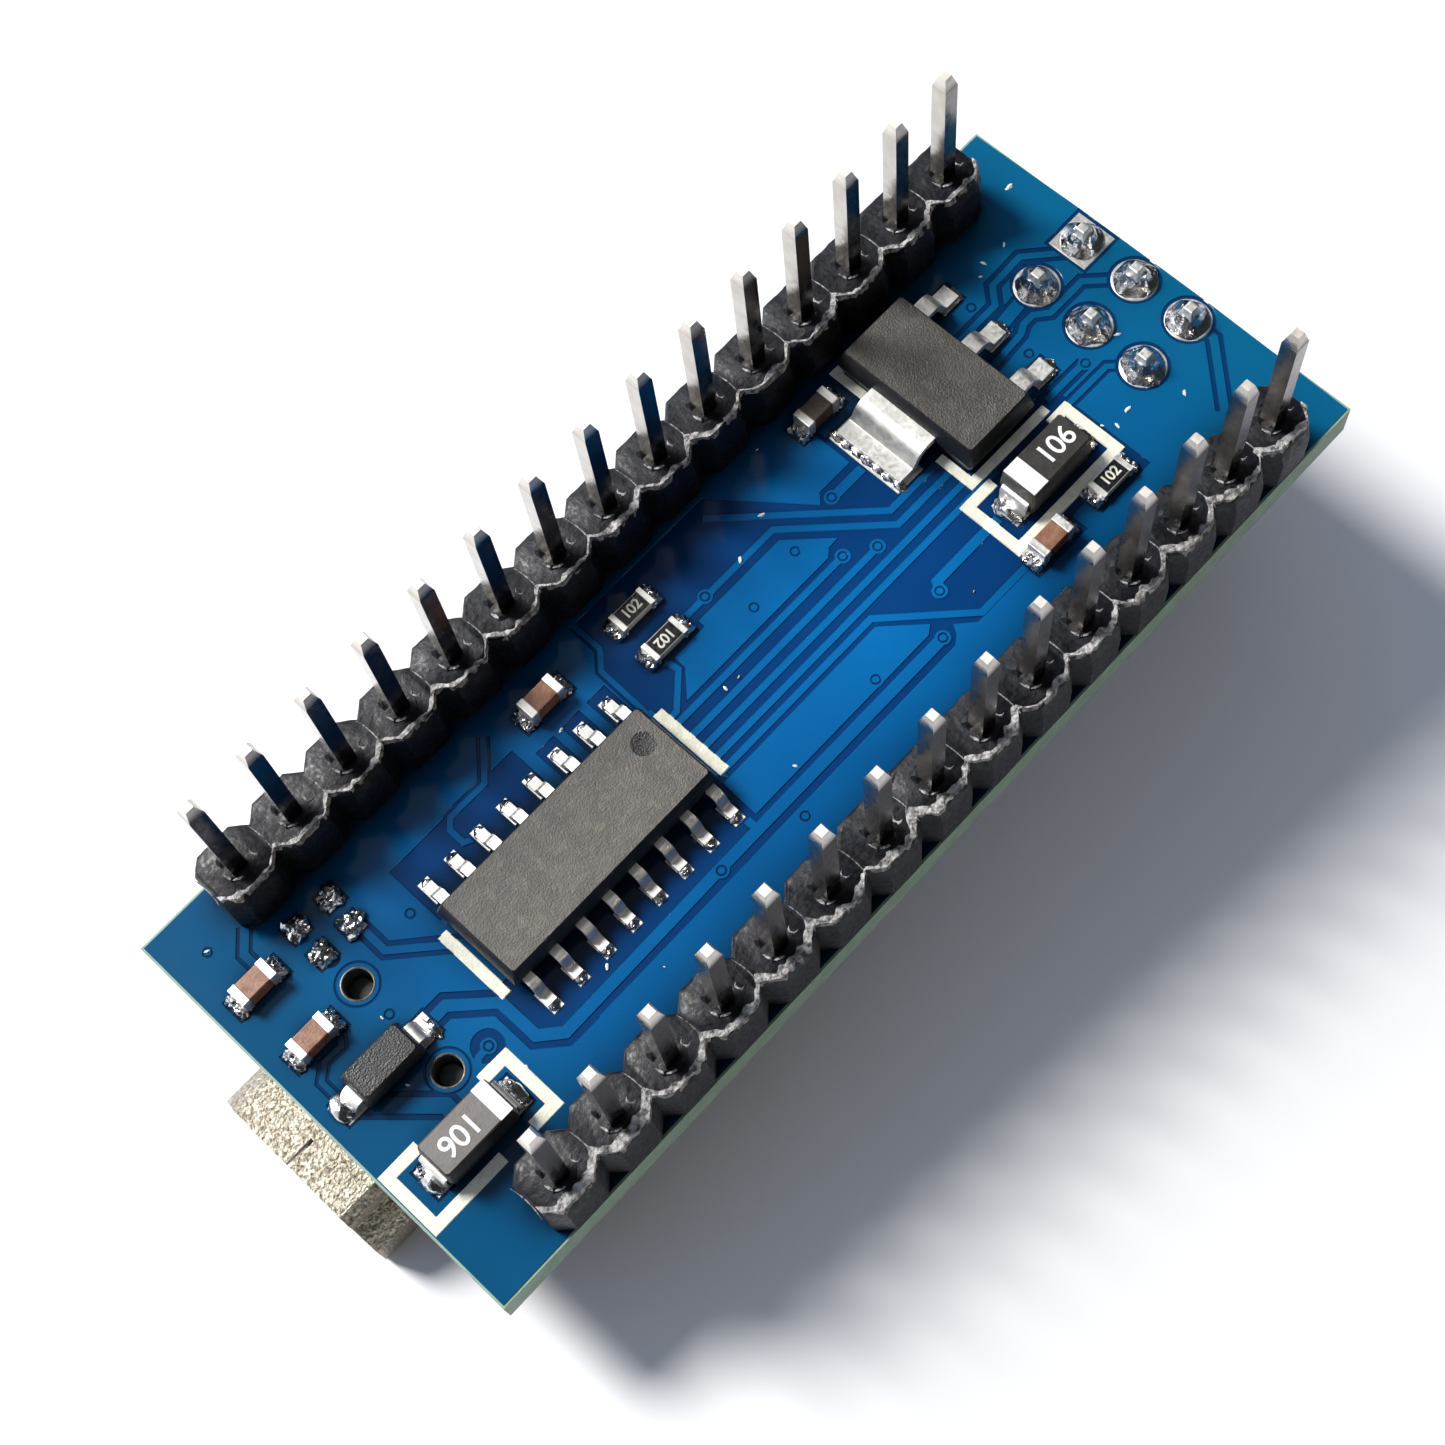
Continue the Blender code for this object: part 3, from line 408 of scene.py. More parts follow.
def placed(bm, matrix, build, *sizes, slot=0, **options):
    """Runs a builder into a scratch mesh, moves the result and adds it with one slot."""
    scratch = bmesh.new()
    build(scratch, *sizes, **options)
    bmesh.ops.transform(scratch, matrix=matrix, verts=scratch.verts)
    mesh = bpy.data.meshes.new("scratch")
    scratch.to_mesh(mesh)
    scratch.free()
    add_mesh(bm, mesh, slot)


def spin(place, turn=0.0):
    return Matrix.Translation((place[0], place[1], 0.0)) @ Matrix.Rotation(turn, 4, "Z")


def wave(*place):
    return noise.noise(Vector(place))


def below(node):
    """The place of a node, or of a point, seen from the component side: y runs the other way."""
    centre = node if isinstance(node, Vector) else middle(node)
    return Vector((centre.x, -centre.y))


def add_box(bm, size, centre):
    matrix = Matrix.Translation(centre) @ Matrix.Diagonal((*size, 1.0))
    bmesh.ops.create_cube(bm, size=1.0, matrix=matrix)


def bridge(bm, rings, closed=True):
    """Joins rings of vertices, each to the next; a ring of one vertex is a tip."""
    count = max(len(ring) for ring in rings)
    for first, second in zip(rings, rings[1:]):
        for step in range(count if closed else count - 1):
            after = (step + 1) % count
            corners = list(dict.fromkeys((
                first[step % len(first)], first[after % len(first)],
                second[after % len(second)], second[step % len(second)])))
            if len(corners) > 2:
                bm.faces.new(corners)


def add_levels(bm, outlines):
    """Joins equal-length outlines, each a list of 3-D points, into one capped solid."""
    rings = [[bm.verts.new(point) for point in outline] for outline in outlines]
    bridge(bm, rings)
    bm.faces.new(rings[0][::-1])
    bm.faces.new(rings[-1])


def rectangle(length, width, height, inset=0.0, cut=0.0):
    x, y = length / 2 - inset, width / 2 - inset
    if not cut:
        return [(-x, -y, height), (x, -y, height), (x, y, height), (-x, y, height)]
    return [
        (-x + cut, -y, height), (x - cut, -y, height), (x, -y + cut, height),
        (x, y - cut, height), (x - cut, y, height), (-x + cut, y, height),
        (-x, y - cut, height), (-x, -y + cut, height),
    ]


def add_moulding(bm, length, width, low, seam, high, draft):
    """A moulded body, widest at its parting line."""
    corner, half_seam, rim = 0.08, 0.02, 0.05
    add_levels(bm, [rectangle(length, width, height, inset, corner) for height, inset in (
        (low, draft), (seam - half_seam, 0.0), (seam + half_seam, 0.0), (high - rim, draft),
        (high, draft + rim))])


def add_turned(bm, profile, centre=(0.0, 0.0), segments=24, wobble=0.0):
    """A turned shape from (radius, height) pairs; wobble makes it uneven, as solder is."""
    rings = []
    for radius, height in profile:
        ring = []
        for step in range(segments if radius else 1):
            angle = 2 * pi * step / segments
            x, y = cos(angle), sin(angle)
            rough = wave(x * 1.3 + centre[0], y * 1.3 + centre[1], height * 2)
            uneven = 1 + (wobble * rough if radius else 0.0)
            reach = radius * uneven
            point = (centre[0] + x * reach, centre[1] + y * reach, height * uneven)
            ring.append(bm.verts.new(point))
        rings.append(ring)
    bridge(bm, rings)


def rounded_path(points, radius, steps=4):
    """A 2-D path with its inner corners turned into short arcs."""
    path = [Vector(points[0])]
    for before, corner, after in zip(points, points[1:], points[2:]):
        before, corner, after = Vector(before), Vector(corner), Vector(after)
        reach = min(radius, (before - corner).length * 0.45, (after - corner).length * 0.45)
        start = corner + (before - corner).normalized() * reach
        end = corner + (after - corner).normalized() * reach
        for step in range(steps + 1):
            t = step / steps
            path.append(start * (1 - t) ** 2 + corner * 2 * t * (1 - t) + end * t * t)
    path.append(Vector(points[-1]))
    return path


def add_lead(bm, points, width, sheet, radius=0.12):
    """A bent flat lead: its board-side path in the XZ plane, swept along Y."""
    path = rounded_path(points, radius)
    rows = []
    for index, point in enumerate(path):
        before = path[max(index - 1, 0)]
        after = path[min(index + 1, len(path) - 1)]
        along = (after - before).normalized()
        outward = Vector((-along.y, along.x)) * sheet
        if outward.y < 0:
            outward = -outward
        row = []
        for side, offset in ((-1, 0), (1, 0), (1, 1), (-1, 1)):
            x, z = point + outward * offset
            row.append((x, side * width / 2, z))
        rows.append(row)
    add_levels(bm, rows)


def gull_wing(edge, shoulder, toe, height):
    """A lead's path out of the body at height and down to a flat foot."""
    heel = shoulder + (toe - shoulder) * 0.32
    return [(edge - 0.2, height), (shoulder, height), (heel, 0.05), (toe, 0.05)]


def add_blob(bm, size, seed=0.0, rough=0.25, lift=0.0):
    """A frozen drop of solder or of flux, the pale flux drops partly a painted glint: half an
    ellipsoid with an uneven skin.
    """
    bmesh.ops.create_icosphere(bm, subdivisions=3, radius=1.0)
    for vert in bm.verts:
        x, y, z = vert.co
        bulge = 1 + rough * wave(x * 1.7 + seed, y * 1.7 + seed * 2, z * 1.7 + 3)
        vert.co = (x * bulge * size[0] / 2, y * bulge * size[1] / 2,
                   lift + max(z, -0.12) * bulge * size[2])


def add_digits(bm, text, height, place, turn, slot):
    """Generic value digits as a thin raised mesh."""
    curve = bpy.data.curves.new("digits", "FONT")
    obj = show("digits", curve, body=text, size=height * 1.35, extrude=0.01, offset=0.012,
               align_x="CENTER", align_y="CENTER", space_character=0.95)
    graph = bpy.context.evaluated_depsgraph_get()
    mesh = bpy.data.meshes.new_from_object(obj.evaluated_get(graph))
    bpy.data.objects.remove(obj)
    bpy.data.curves.remove(curve)
    mesh.transform(Matrix.Translation(place) @ Matrix.Rotation(turn, 4, "Z"))
    add_mesh(bm, mesh, slot)


# ---- printed board faces

LEVELS = {  # height and material slot
    "bare": (BARE_LEVEL, 0), "copper": (COPPER_LEVEL, 1), "pad": (PAD_LEVEL, 2),
    "print": (PRINT_LEVEL, 3), "hole": (None, 0),
}


def disc(centre, radius, sides=20, shift=0.5):
    turns = [2 * pi * (step + shift) / sides for step in range(sides)]
    return [(centre[0] + radius * cos(turn), centre[1] + radius * sin(turn)) for turn in turns]


def block(x_low, y_low, x_high, y_high):
    return [(x_low, y_low), (x_high, y_low), (x_high, y_high), (x_low, y_high)]


def ribbon(points, width):
    """The outline of a track of constant width along a path."""
    points = [Vector(point) for point in points]
    left, right = [], []
    for index, point in enumerate(points):
        before = (point - points[index - 1]).normalized() if index else None
        after = (points[index + 1] - point).normalized() if index + 1 < len(points) else None
        along = ((before or after) + (after or before)).normalized()
        across = Vector((-along.y, along.x))
        stretch = width / 2 / max(0.5, abs(along.dot(after or before)))
        left.append(point + across * stretch)
        right.append(point - across * stretch)
    return left + right[::-1]


def limits(outline):
    xs, ys = zip(*outline)
    return min(xs), max(xs), min(ys), max(ys)


def covers(outline, x, y):
    """Whether a point lies in an outline; overlapping loops of one ribbon count as inside."""
    turns = 0
    for (x0, y0), (x1, y1) in zip(outline, outline[1:] + outline[:1]):
        if (y0 <= y) != (y1 <= y) and x0 + (y - y0) * (x1 - x0) / (y1 - y0) > x:
            turns += 1 if y1 > y0 else -1
    return turns != 0


class Artwork:
    """Shapes in painting order: a later one covers those before it."""

    def __init__(self):
        ground = block(BOARD_LOW.x + BORDER, BOARD_LOW.y + BORDER,
                       BOARD_HIGH.x - BORDER, BOARD_HIGH.y - BORDER)
        self.shapes = [("copper", ground)]
        self.holes = []

    def add(self, kind, *outlines):
        self.shapes += [(kind, outline) for outline in outlines]

    def track(self, points, width, gap):
        if gap:
            self.add("bare", ribbon(points, width + 2 * gap))
        self.add("copper", ribbon(points, width))

    def vias(self, places):
        """Small rings, with the drilled barrel filled over by the mask."""
        for place in places:
            self.add("copper", disc(place, 0.28, 18))
            self.add("bare", disc(place, 0.21, 16))
            self.add("copper", disc(place, 0.12, 12))

    def drill(self, places, radius, sides=16):
        self.holes += [disc(place, radius, sides) for place in places]

    def land(self, centre, length, width, margin=0.12, turn=0.0):
        """A tinned land with bare laminate round it."""
        rotate = Matrix.Rotation(turn, 2)
        for kind, extra in (("bare", margin), ("pad", 0.0)):
            corners = rectangle(length + 2 * extra, width + 2 * extra, 0.0)
            self.add(kind, [tuple(Vector(centre) + rotate @ Vector(corner[:2]))
                            for corner in corners])

    def land_pair(self, centre, reach, *sizes):
        for side in (-1, 1):
            self.land((centre.x + side * reach, centre.y), *sizes)

    def ring(self, place, kind, radius, margin, sides=20):
        self.add("bare", disc(place, radius + margin, sides))
        self.add(kind, disc(place, radius, sides))

    def header_lands(self):
        for place in HEADER_PINS:
            self.ring(place, "pad", HEADER_LAND_RADIUS, 0.18)
        self.drill(HEADER_PINS, HEADER_HOLE_RADIUS)

    def build(self, name, matrix):
        shapes = self.shapes + [("hole", outline) for outline in self.holes]
        points, loops = [], []
        for _, outline in shapes:
            count = len(outline)
            loops += [(len(points) + i, len(points) + (i + 1) % count) for i in range(count)]
            points += [Vector((x, y)) for x, y in outline]
        corners, _, faces, *_ = geometry.delaunay_2d_cdt(points, loops, [], 0, 1e-4, False)
        stack = [(kind, outline, *limits(outline)) for kind, outline in reversed(shapes)]
        kinds = []
        for face in faces:
            x, y = sum((corners[corner] for corner in face), Vector((0, 0))) / len(face)
            kinds.append(next((
                kind for kind, outline, x_low, x_high, y_low, y_high in stack
                if x_low <= x <= x_high and y_low <= y <= y_high and covers(outline, x, y)
            ), shapes[0][0]))
        self.raise_levels(name, matrix, corners, faces, kinds)

    def raise_levels(self, name, matrix, corners, faces, kinds):
        """Sets each face at its level, with a small slope down to any lower neighbour."""
        bm = bmesh.new()
        heights = [LEVELS[kind][0] for kind in kinds]
        owner = {(start, end): height for face, height in zip(faces, heights)
                 for start, end in zip(face, face[1:] + face[:1])}
        push = {}
        walls = []
        for (start, end), high in owner.items():
            low = owner.get((end, start))
            if high is None or (low is not None and low >= high):
                continue
            walls.append((start, end, high, low))
            side = corners[end] - corners[start]
            outward = Vector((side.y, -side.x)).normalized()
            for corner in (start, end):
                push[corner, low] = push.get((corner, low), Vector((0, 0))) + outward
        made = {}

        def vertex(corner, height, ground=False):
            key = (corner, height, ground)
            if key not in made:
                shift = push.get((corner, height), Vector((0, 0)))
                x, y = corners[corner] + shift.normalized() * EDGE_SLOPE
                made[key] = bm.verts.new((x, y, 0.0 if ground else height))
            return made[key]

        for face, kind, height in zip(faces, kinds, heights):
            if height is not None:
                new = bm.faces.new([vertex(corner, height) for corner in face])
                new.material_index = LEVELS[kind][1]
        slots = dict(LEVELS.values())
        for start, end, high, low in walls:
            ground = low is None
            bottom = [vertex(corner, high if ground else low, ground) for corner in (end, start)]
            top = [vertex(start, high), vertex(end, high)]
            wall = list(dict.fromkeys(top + bottom))
            if len(wall) > 2 and bm.faces.get(wall) is None:
                bm.faces.new(wall).material_index = slots[high]
        bmesh.ops.transform(bm, matrix=matrix, verts=bm.verts)
        piece(name, bm, [MASK_BARE, MASK_COPPER, TIN, PRINT], angle=10)


PIN_SIDE_TRACKS = (  # width, clearance, path
    # between chip and regulator
    (0.25, 0, [(-4.1, 0.82), (4.85, 0.82)]), (0.25, 0, [(-4.1, 0.13), (5.95, 0.13)]),
    (0.25, 0, [(-4.1, -0.47), (10.4, -0.47)]), (0.25, 0, [(-4.1, -1.05), (11.0, -1.05)]),
    (0.25, 0, [(-4.1, -1.55), (3.72, -1.55), (6.5, -4.3), (9.2, -4.3)]),
    (0.25, 0, [(-1.0, 3.4), (3.95, 3.4), (7.08, 0.18), (10.2, 0.18)]),
    (0.25, 0, [(2.6, 5.6), (4.0, 4.15), (7.3, 0.76), (9.8, 0.76)]),
    (0.36, 0, [(6.3, 2.65), (8.6, 2.65)]),
    (0.36, 0, [(6.13, -2.65), (6.35, -2.33), (9.6, -2.33)]),
    (0.22, 0, [(-2.6, 3.0), (-2.25, 2.6), (-2.2, 2.2), (-3.4, 1.15), (-4.1, 1.15)]),
    (0.2, 0.12, [(-4.15, 1.9), (-4.08, 4.2), (-3.5, 4.85), (-3.5, 6.2)]),
    (0.3, 0, [(-4.65, -3.2), (-4.65, -3.9)]),
    # at the USB end
    (0.28, 0.2, [(-16.3, 4.0), (-16.3, 2.55), (-14.3, 0.75)]),
    (0.55, 0.22, [(-20.6, -0.6), (-18.6, -2.8), (-18.6, -4.0)]),
    (0.3, 0.16, [(-19.68, 4.9), (-19.68, 6.05), (-19.0, 6.75)]),
    (0.2, 0.14, [(-20.9, 0.2), (-20.9, 0.85), (-20.35, 1.3), (-19.6, 1.25), (-19.2, 1.8)]),
    (0.24, 0, [(-17.5, -3.0), (-16.75, -2.45), (-16.25, -2.4)]),
    (0.22, 0.14, [(-11.18, 3.0), (-11.8, 3.3), (-11.8, 4.0), (-11.45, 4.32), (-9.8, 4.3),
                  (-8.6, 5.6)]),
    # at the programming header
    (0.25, 0.2, [(13.4, 3.45), (16.05, 3.45), (16.6, 4.08), (18.2, 4.12), (19.5, 2.9)]),
    (0.5, 0.15, [(15.2, 2.7), (17.4, 2.9)]),
    (0.25, 0.2, [(14.0, 1.85), (15.75, 1.95), (16.15, 2.15), (16.65, 2.15), (17.15, 1.72),
                 (18.9, 1.72), (20.0, 0.6)]),
    (0.25, 0.18, [(14.3, -0.52), (16.35, -0.55)]),
    (0.22, 0.15, [(14.7, -1.22), (16.8, -1.25), (17.6, -2.1)]),
    (0.3, 0.2, [(20.27, -2.2), (20.25, -3.4), (18.2, -5.6)]),
)
PIN_SIDE_VIAS = (
    (-14.81, 2.85), (-17.74, 0.84), (-16.23, -2.42), (0.44, 3.42), (1.30, 1.83), (3.86, 2.22),
    (4.85, 0.82), (5.96, 0.15), (6.30, 2.68), (6.13, -2.65), (4.87, -3.92), (2.13, -3.22),
    (-3.20, -4.80), (-6.55, -4.0), (-20.48, 7.05), (15.35, 1.2), (15.4, 4.05), (16.4, -0.6),
)
COMPONENT_SIDE_VIAS = (
    (-1.5, 3.6), (-1.2, -3.4), (4.0, 4.2), (9.6, -4.5), (15.2, 3.0), (15.4, -2.2), (-12.0, 1.4),
    (-10.9, -2.4), (3.9, -4.6),
)


def pin_side_artwork():
    art = Artwork()
    art.header_lands()

    # open ground round the chip, ground plane islands in it, and clear places at the USB end
    art.add(
        "bare",
        [(-3.95, -4.45), (8.8, -4.45), (8.8, -4.95), (14.85, -4.95), (14.85, -3.75),
         (14.85, -0.15), (10.3, -0.15), (10.3, 3.2), (7.9, 3.2), (7.9, 6.2), (-3.3, 6.2),
         (-3.95, 4.4)],
        [(-14.65, -1.2), (-4.3, -1.2), (-3.95, -1.9), (-3.95, -4.45), (-14.2, -4.45),
         (-14.65, -3.3)],
        block(-14.3, 1.9, -8.3, 4.45),
        *(block(x - 0.45, 1.9, x + 0.45, 3.75) for x in (-4.83, -6.10, -7.37)),
        disc((-16.25, -2.4), 0.62), disc((-17.75, 3.75), 0.35))
    art.add(
        "copper",
        [(-2.85, 1.17), (-1.98, 2.1), (-1.98, 2.62), (-0.4, 2.65), (-0.4, 2.95), (3.8, 2.95),
         (5.25, 1.45), (4.75, 1.42), (4.45, 1.17)],
        [(4.15, 4.9), (5.8, 2.78), (6.15, 3.15), (7.75, 3.15), (7.75, 6.2), (3.2, 6.2)],
        [(-4.25, -1.88), (3.6, -1.88), (4.95, -3.23), (4.6, -3.47), (-4.28, -3.47)],
        [(-15.2, -4.5), (-14.35, -4.45), (4.95, -4.45), (5.3, -4.2), (5.5, -3.85),
         (6.35, -4.65), (8.6, -4.65), (8.75, -5.4), (-15.2, -5.4)],
        block(11.4, -5.2, 12.2, -4.2))

    # tracks, the wide one from the diode round the chip first
    start = [(-17.6, -0.35), (-16.25, -0.35), (-14.9, -1.65), (-14.9, -3.35)]
    art.add("bare", ribbon(start + [(-14.15, -4.02), (-13.0, -4.02)], 0.95))
    art.track(start + [(-14.15, -4.0), (-6.5, -3.92), (4.85, -3.92)], 0.42, 0)
    for width, gap, path in PIN_SIDE_TRACKS:
        art.track(path, width, gap)

    # programming pins, one of them on a square land, and the peg holes
    for place in ICSP_PINS:
        if place != ICSP_SQUARE_PAD:
            art.ring(place, "pad", 0.86, 0.16, 28)
    art.land(ICSP_SQUARE_PAD, 1.7, 1.7, 0.15)
    for place in PEG_HOLES:
        art.ring(place, "copper", 0.74, 0.10, 32)
    art.drill(PEG_HOLES, PEG_HOLE_RADIUS, 32)
    art.drill(ICSP_PINS, ICSP_HOLE_RADIUS)

    for node in CERAMICS + RESISTORS:
        art.land_pair(middle(node), 0.88, 0.45, 0.8)
    for x in CHIP_LEAD_X:
        for side in (-1, 1):
            art.land((x, CHIP.y + side * 2.85), 0.46, 0.95)
    art.land_pair(DIODE, 1.75, 0.8, 0.95)
    for node in TANTALUMS:
        art.land_pair(middle(node), 1.72, 0.9, 1.2)
    for offset in REGULATOR_LEAD_Y:
        art.land((REGULATOR_AT.x + 3.15, REGULATOR_AT.y + offset), 1.0, 0.8)
    art.land((REGULATOR_AT.x - 3.2, REGULATOR_AT.y), 1.3, 3.35)
    for place in SPARE_LANDS:
        art.land(place, 0.7, 0.7)

    # white print round the tantalum capacitors, the chip and the regulator
    x, y, _ = middle("tantalum_cap_input")
    art.add(
        "print",
        ribbon([(x - 1.48, y + 1.12), (x - 2.9, y + 1.12), (x - 2.9, y - 1.22),
                (x + 0.2, y - 1.22)], 0.42),
        ribbon([(x + 1.5, y + 1.12), (x + 2.62, y + 1.12), (x + 2.62, y - 1.22),
                (x + 1.6, y - 1.22)], 0.42),
        block(9.0, -3.85, 9.42, -1.05), block(9.42, -3.85, 14.3, -3.45),
        block(14.3, -3.85, 14.72, -1.05), block(9.42, -1.45, 10.55, -1.05),
        block(13.7, -1.45, 14.3, -1.05), block(-4.06, -1.6, -3.66, 1.62),
        block(-14.78, -1.62, -14.4, 1.5),
        ribbon([(10.02, 0.85), (10.02, -0.72), (14.05, -0.72)], 0.36),
        ribbon([(10.1, 4.3), (10.1, 5.95), (10.45, 5.95)], 0.34))
    art.vias(PIN_SIDE_VIAS)
    return art


def component_side_artwork():
    """Seen from the component side: y runs the other way here than on the pin side."""
    art = Artwork()
    chip, switch = below(CONTROLLER), below(SWITCH)

    # from the leads of the controller out to lanes beside the header, and to its pins
    for side_x in (-1, 1):
        for side_y in (-1, 1):
            normal = Vector((side_x, side_y)).normalized()
            across = Vector((side_x, -side_y)).normalized()
            for index, along in enumerate(CONTROLLER_LEADS[:-1]):
                foot = chip + normal * 4.3 + across * along
                out = foot + normal * 0.5
                lane = side_y * (6.1 - index * 0.42)
                if (lane - out.y) * side_y < 0:
                    lane = out.y
                goal = chip.x + side_x * (index + 0.6) * PITCH
                target = min(PIN_X, key=lambda x: abs(x - goal))
                bend = out.x + side_x * abs(lane - out.y) * 0.5
                art.track([foot, out, (bend, lane), (target, lane), (target, side_y * ROW_Y)],
                          0.22, 0.14)
    art.track([(8.6, 0.0), (10.2, 0.0), (11.0, 1.3)], 0.3, 0.18)

    art.header_lands()
    art.drill([(x, -y) for x, y in ICSP_PINS], ICSP_HOLE_RADIUS)
    art.drill([(x, -y) for x, y in PEG_HOLES], PEG_HOLE_RADIUS, 32)
    for quarter in range(4):
        turn = radians(45 + 90 * quarter)
        for offset in CONTROLLER_LEADS:
            place = chip + Matrix.Rotation(turn, 2) @ Vector((4.4, offset))
            art.land(place, 0.9, 0.5, 0.1, turn)
    for node in LEDS:
        art.land_pair(below(node), 0.85, 0.6, 0.9, 0.1)
    for side in (-1, 1):
        art.land((switch.x, switch.y + side * 3.85), 1.2, 0.9, 0.1)
        for x in SHELL_FEET_X:
            art.land((x, side * 4.25 - USB_Y), 2.1, 1.5, 0.1)
    for y in USB_CONTACT_Y:
        art.land((SHELL_HIGH.x + 1.0, y), 1.4, 0.45, 0.1)

    # white print beside the lights, the chip, the programming header and the switch
    for node in LEDS:
        x, y = below(node)
        art.add("print", ribbon([(x - 1.5, y - 0.45), (x - 1.5, y + 0.45)], 0.15))
    art.add("print", disc((chip.x - 6.6, chip.y), 0.22))
    for side in (-1, 1):
        y = side * 4.1 - ICSP.y
        art.add("print", ribbon([(ICSP_LOW.x - 0.35, y), (ICSP_HIGH.x - 0.35, y)], 0.18),
                ribbon([(switch.x - 2.2, side * 3.0), (switch.x - 2.2, side * 1.2)], 0.16))
    art.vias(COMPONENT_SIDE_VIAS)
    return art


# ---- parts on the pin side

def moulded(kind, at, side_slot=0):
    """A new mesh holding one moulded body, its side walls in another material slot."""
    body = bmesh.new()
    placed(body, at, add_moulding, *BODIES[kind])
    paint_sides(body, side_slot)
    return body


def add_solder(name, drops, lift=0.0, rough=0.25):
    """One piece of frozen drops: the place, size and seed of each."""
    bm = bmesh.new()
    for place, size, seed in drops:
        placed(bm, place, add_blob, size, seed, rough, lift)
    piece(name, bm, [SOLDER])


def finish_package(name, node, body, finishes, leads, drops, bevel=0.03, ending="_leads",
                   lift=0.0):
    """The pieces of a chip: its body, its leads (place, path, width, sheet) and their solder."""
    piece(name + "_body", body, finishes, node=node)
    bm = bmesh.new()
    for place, *sizes in leads:
        placed(bm, place, add_lead, *sizes)
    piece(name + ending, bm, [TIN], bevel)
    add_solder(name + "_solder", drops, lift)


def make_chip():
    body = moulded("usb_serial_chip", spin(CHIP), 1)
    dot = [(0.0, 1.553), (0.40, 1.553), (0.45, 1.56), (0.46, 1.545)]
    placed(body, spin((CHIP.x + 3.95, CHIP.y + 0.65)), add_turned, dot, segments=32, slot=1)
    leads, drops = [], []
    for x in CHIP_LEAD_X:
        for side in (-1, 1):
            path = gull_wing(1.95, 2.3, 3.05, 0.7)
            leads.append((spin((x, CHIP.y), side * pi / 2), path, 0.42, 0.2))
            foot = spin((x + 0.02 * side, CHIP.y + side * 3.08))
            drops.append((foot, (0.5, 0.5, 0.22), x + side))
    finish_package("chip", "usb_serial_chip", body, [EPOXY, EPOXY_BLACK], leads, drops)


def make_regulator():
    at = spin(REGULATOR_AT)
    leads = [(at @ spin((0, y)), gull_wing(1.75, 2.3, 3.5, 0.75), 0.72, 0.26)
             for y in REGULATOR_LEAD_Y]
    leads.append((at @ spin((0, 0), pi), gull_wing(1.75, 2.35, 3.6, 0.75), 3.05, 0.27, 0.2))
    drops = [(at @ spin((3.5, y)), (0.7, 0.85, 0.2), y) for y in REGULATOR_LEAD_Y]
    drops += [(at @ spin((-3.62, (step - 3) * 0.5)), (0.42, 0.7, 0.2), step) for step in range(7)]
    finish_package("regulator", "voltage_regulator", moulded("voltage_regulator", at, 1),
                   [REGULATOR, EPOXY_BLACK], leads, drops, 0.04)


def make_tantalum(node, material, band_from, band_to, text_x, text_turn):
    centre = middle(node)
    at = spin(centre)
    body = moulded("tantalum", at, 2)
    band = ((band_from + band_to) / 2, 0, 1.633)
    placed(body, at, add_box, (band_to - band_from, 1.44, 0.02), band, slot=1)
    add_digits(body, "106", 0.82, (centre.x + text_x, centre.y - 0.02, 1.636), text_turn, 1)
    path = [(1.5, 0.8), (1.66, 0.8), (1.68, 0.08), (1.0, 0.06)]
    leads, drops = [], []
    for side, turn in ((-1, pi), (1, 0.0)):
        leads.append((spin(centre, turn), path, 1.2, 0.12, 0.08))
        drops += [(at @ spin((side * 1.95, 0)), (0.75, 1.25, 0.42), centre.x + side),
                  (at @ spin((side * 2.0, 0.3)), (0.5, 0.5, 0.5), centre.y + side)]
    finish_package(node, node, body, [material, BAND, TANTALUM_DARK], leads, drops,
                   ending="_terminals")


def make_chip_part(node, materials, height, band, text_turn=None):
    """A ceramic or resistor body with tinned ends and a solder fillet at each."""
    centre = middle(node)
    length, width = footprint(node)
    at = spin(centre)
    body = bmesh.new()
    lift = 0.04 + height / 2
    placed(body, at, add_box, (length - band, width - 0.06, height - 0.04), (0, 0, lift))
    for side in (-1, 1):
        place = (side * (length - band) / 2, 0, lift)
        placed(body, at, add_box, (band, width, height), place, slot=1)
    if text_turn is not None:
        glaze = (length - 2 * band - 0.04, width - 0.12, 0.03)
        placed(body, at, add_box, glaze, (0, 0, height + 0.03), slot=2)
        add_digits(body, "102", 0.42, (centre.x, centre.y, height + 0.05), text_turn, 3)
    piece(node + "_body", body, materials, 0.045, node=node)
    add_solder(node + "_solder", [
        (at @ spin((side * (length / 2 + 0.12), (part - 1) * 0.26)),
         (0.5, 0.45, 0.32 + 0.1 * random.random()), centre.x * side + part)
        for side in (-1, 1) for part in range(3)], rough=0.4)


def make_diode():
    at = spin(DIODE)
    path = gull_wing(1.32, 1.5, 1.98, 0.45)
    leads = [(spin(DIODE, turn), path, 0.8, 0.14) for turn in (pi, 0.0)]
    drops = [(at @ spin((-1.95, 0.1)), (0.85, 1.15, 0.42), 4.0),
             (at @ spin((1.95, -0.2)), (0.55, 0.85, 0.25), 9.0)]
    body = moulded("rectifier_diode", at)
    finish_package("diode", "rectifier_diode", body, [EPOXY_BLACK], leads, drops)


def make_peg_liners():
    bm = bmesh.new()
    radius = PEG_HOLE_RADIUS
    profile = [(radius + 0.06, 0.035), (radius + 0.02, 0.05), (radius - 0.02, 0.03),
               (radius - 0.03, -0.06), (radius - 0.03, 0.06 - THICKNESS), (radius, -THICKNESS)]
    for place in PEG_HOLES:
        placed(bm, spin(place), add_turned, profile, segments=40)
    piece("peg_hole_liners", bm, [BARREL])


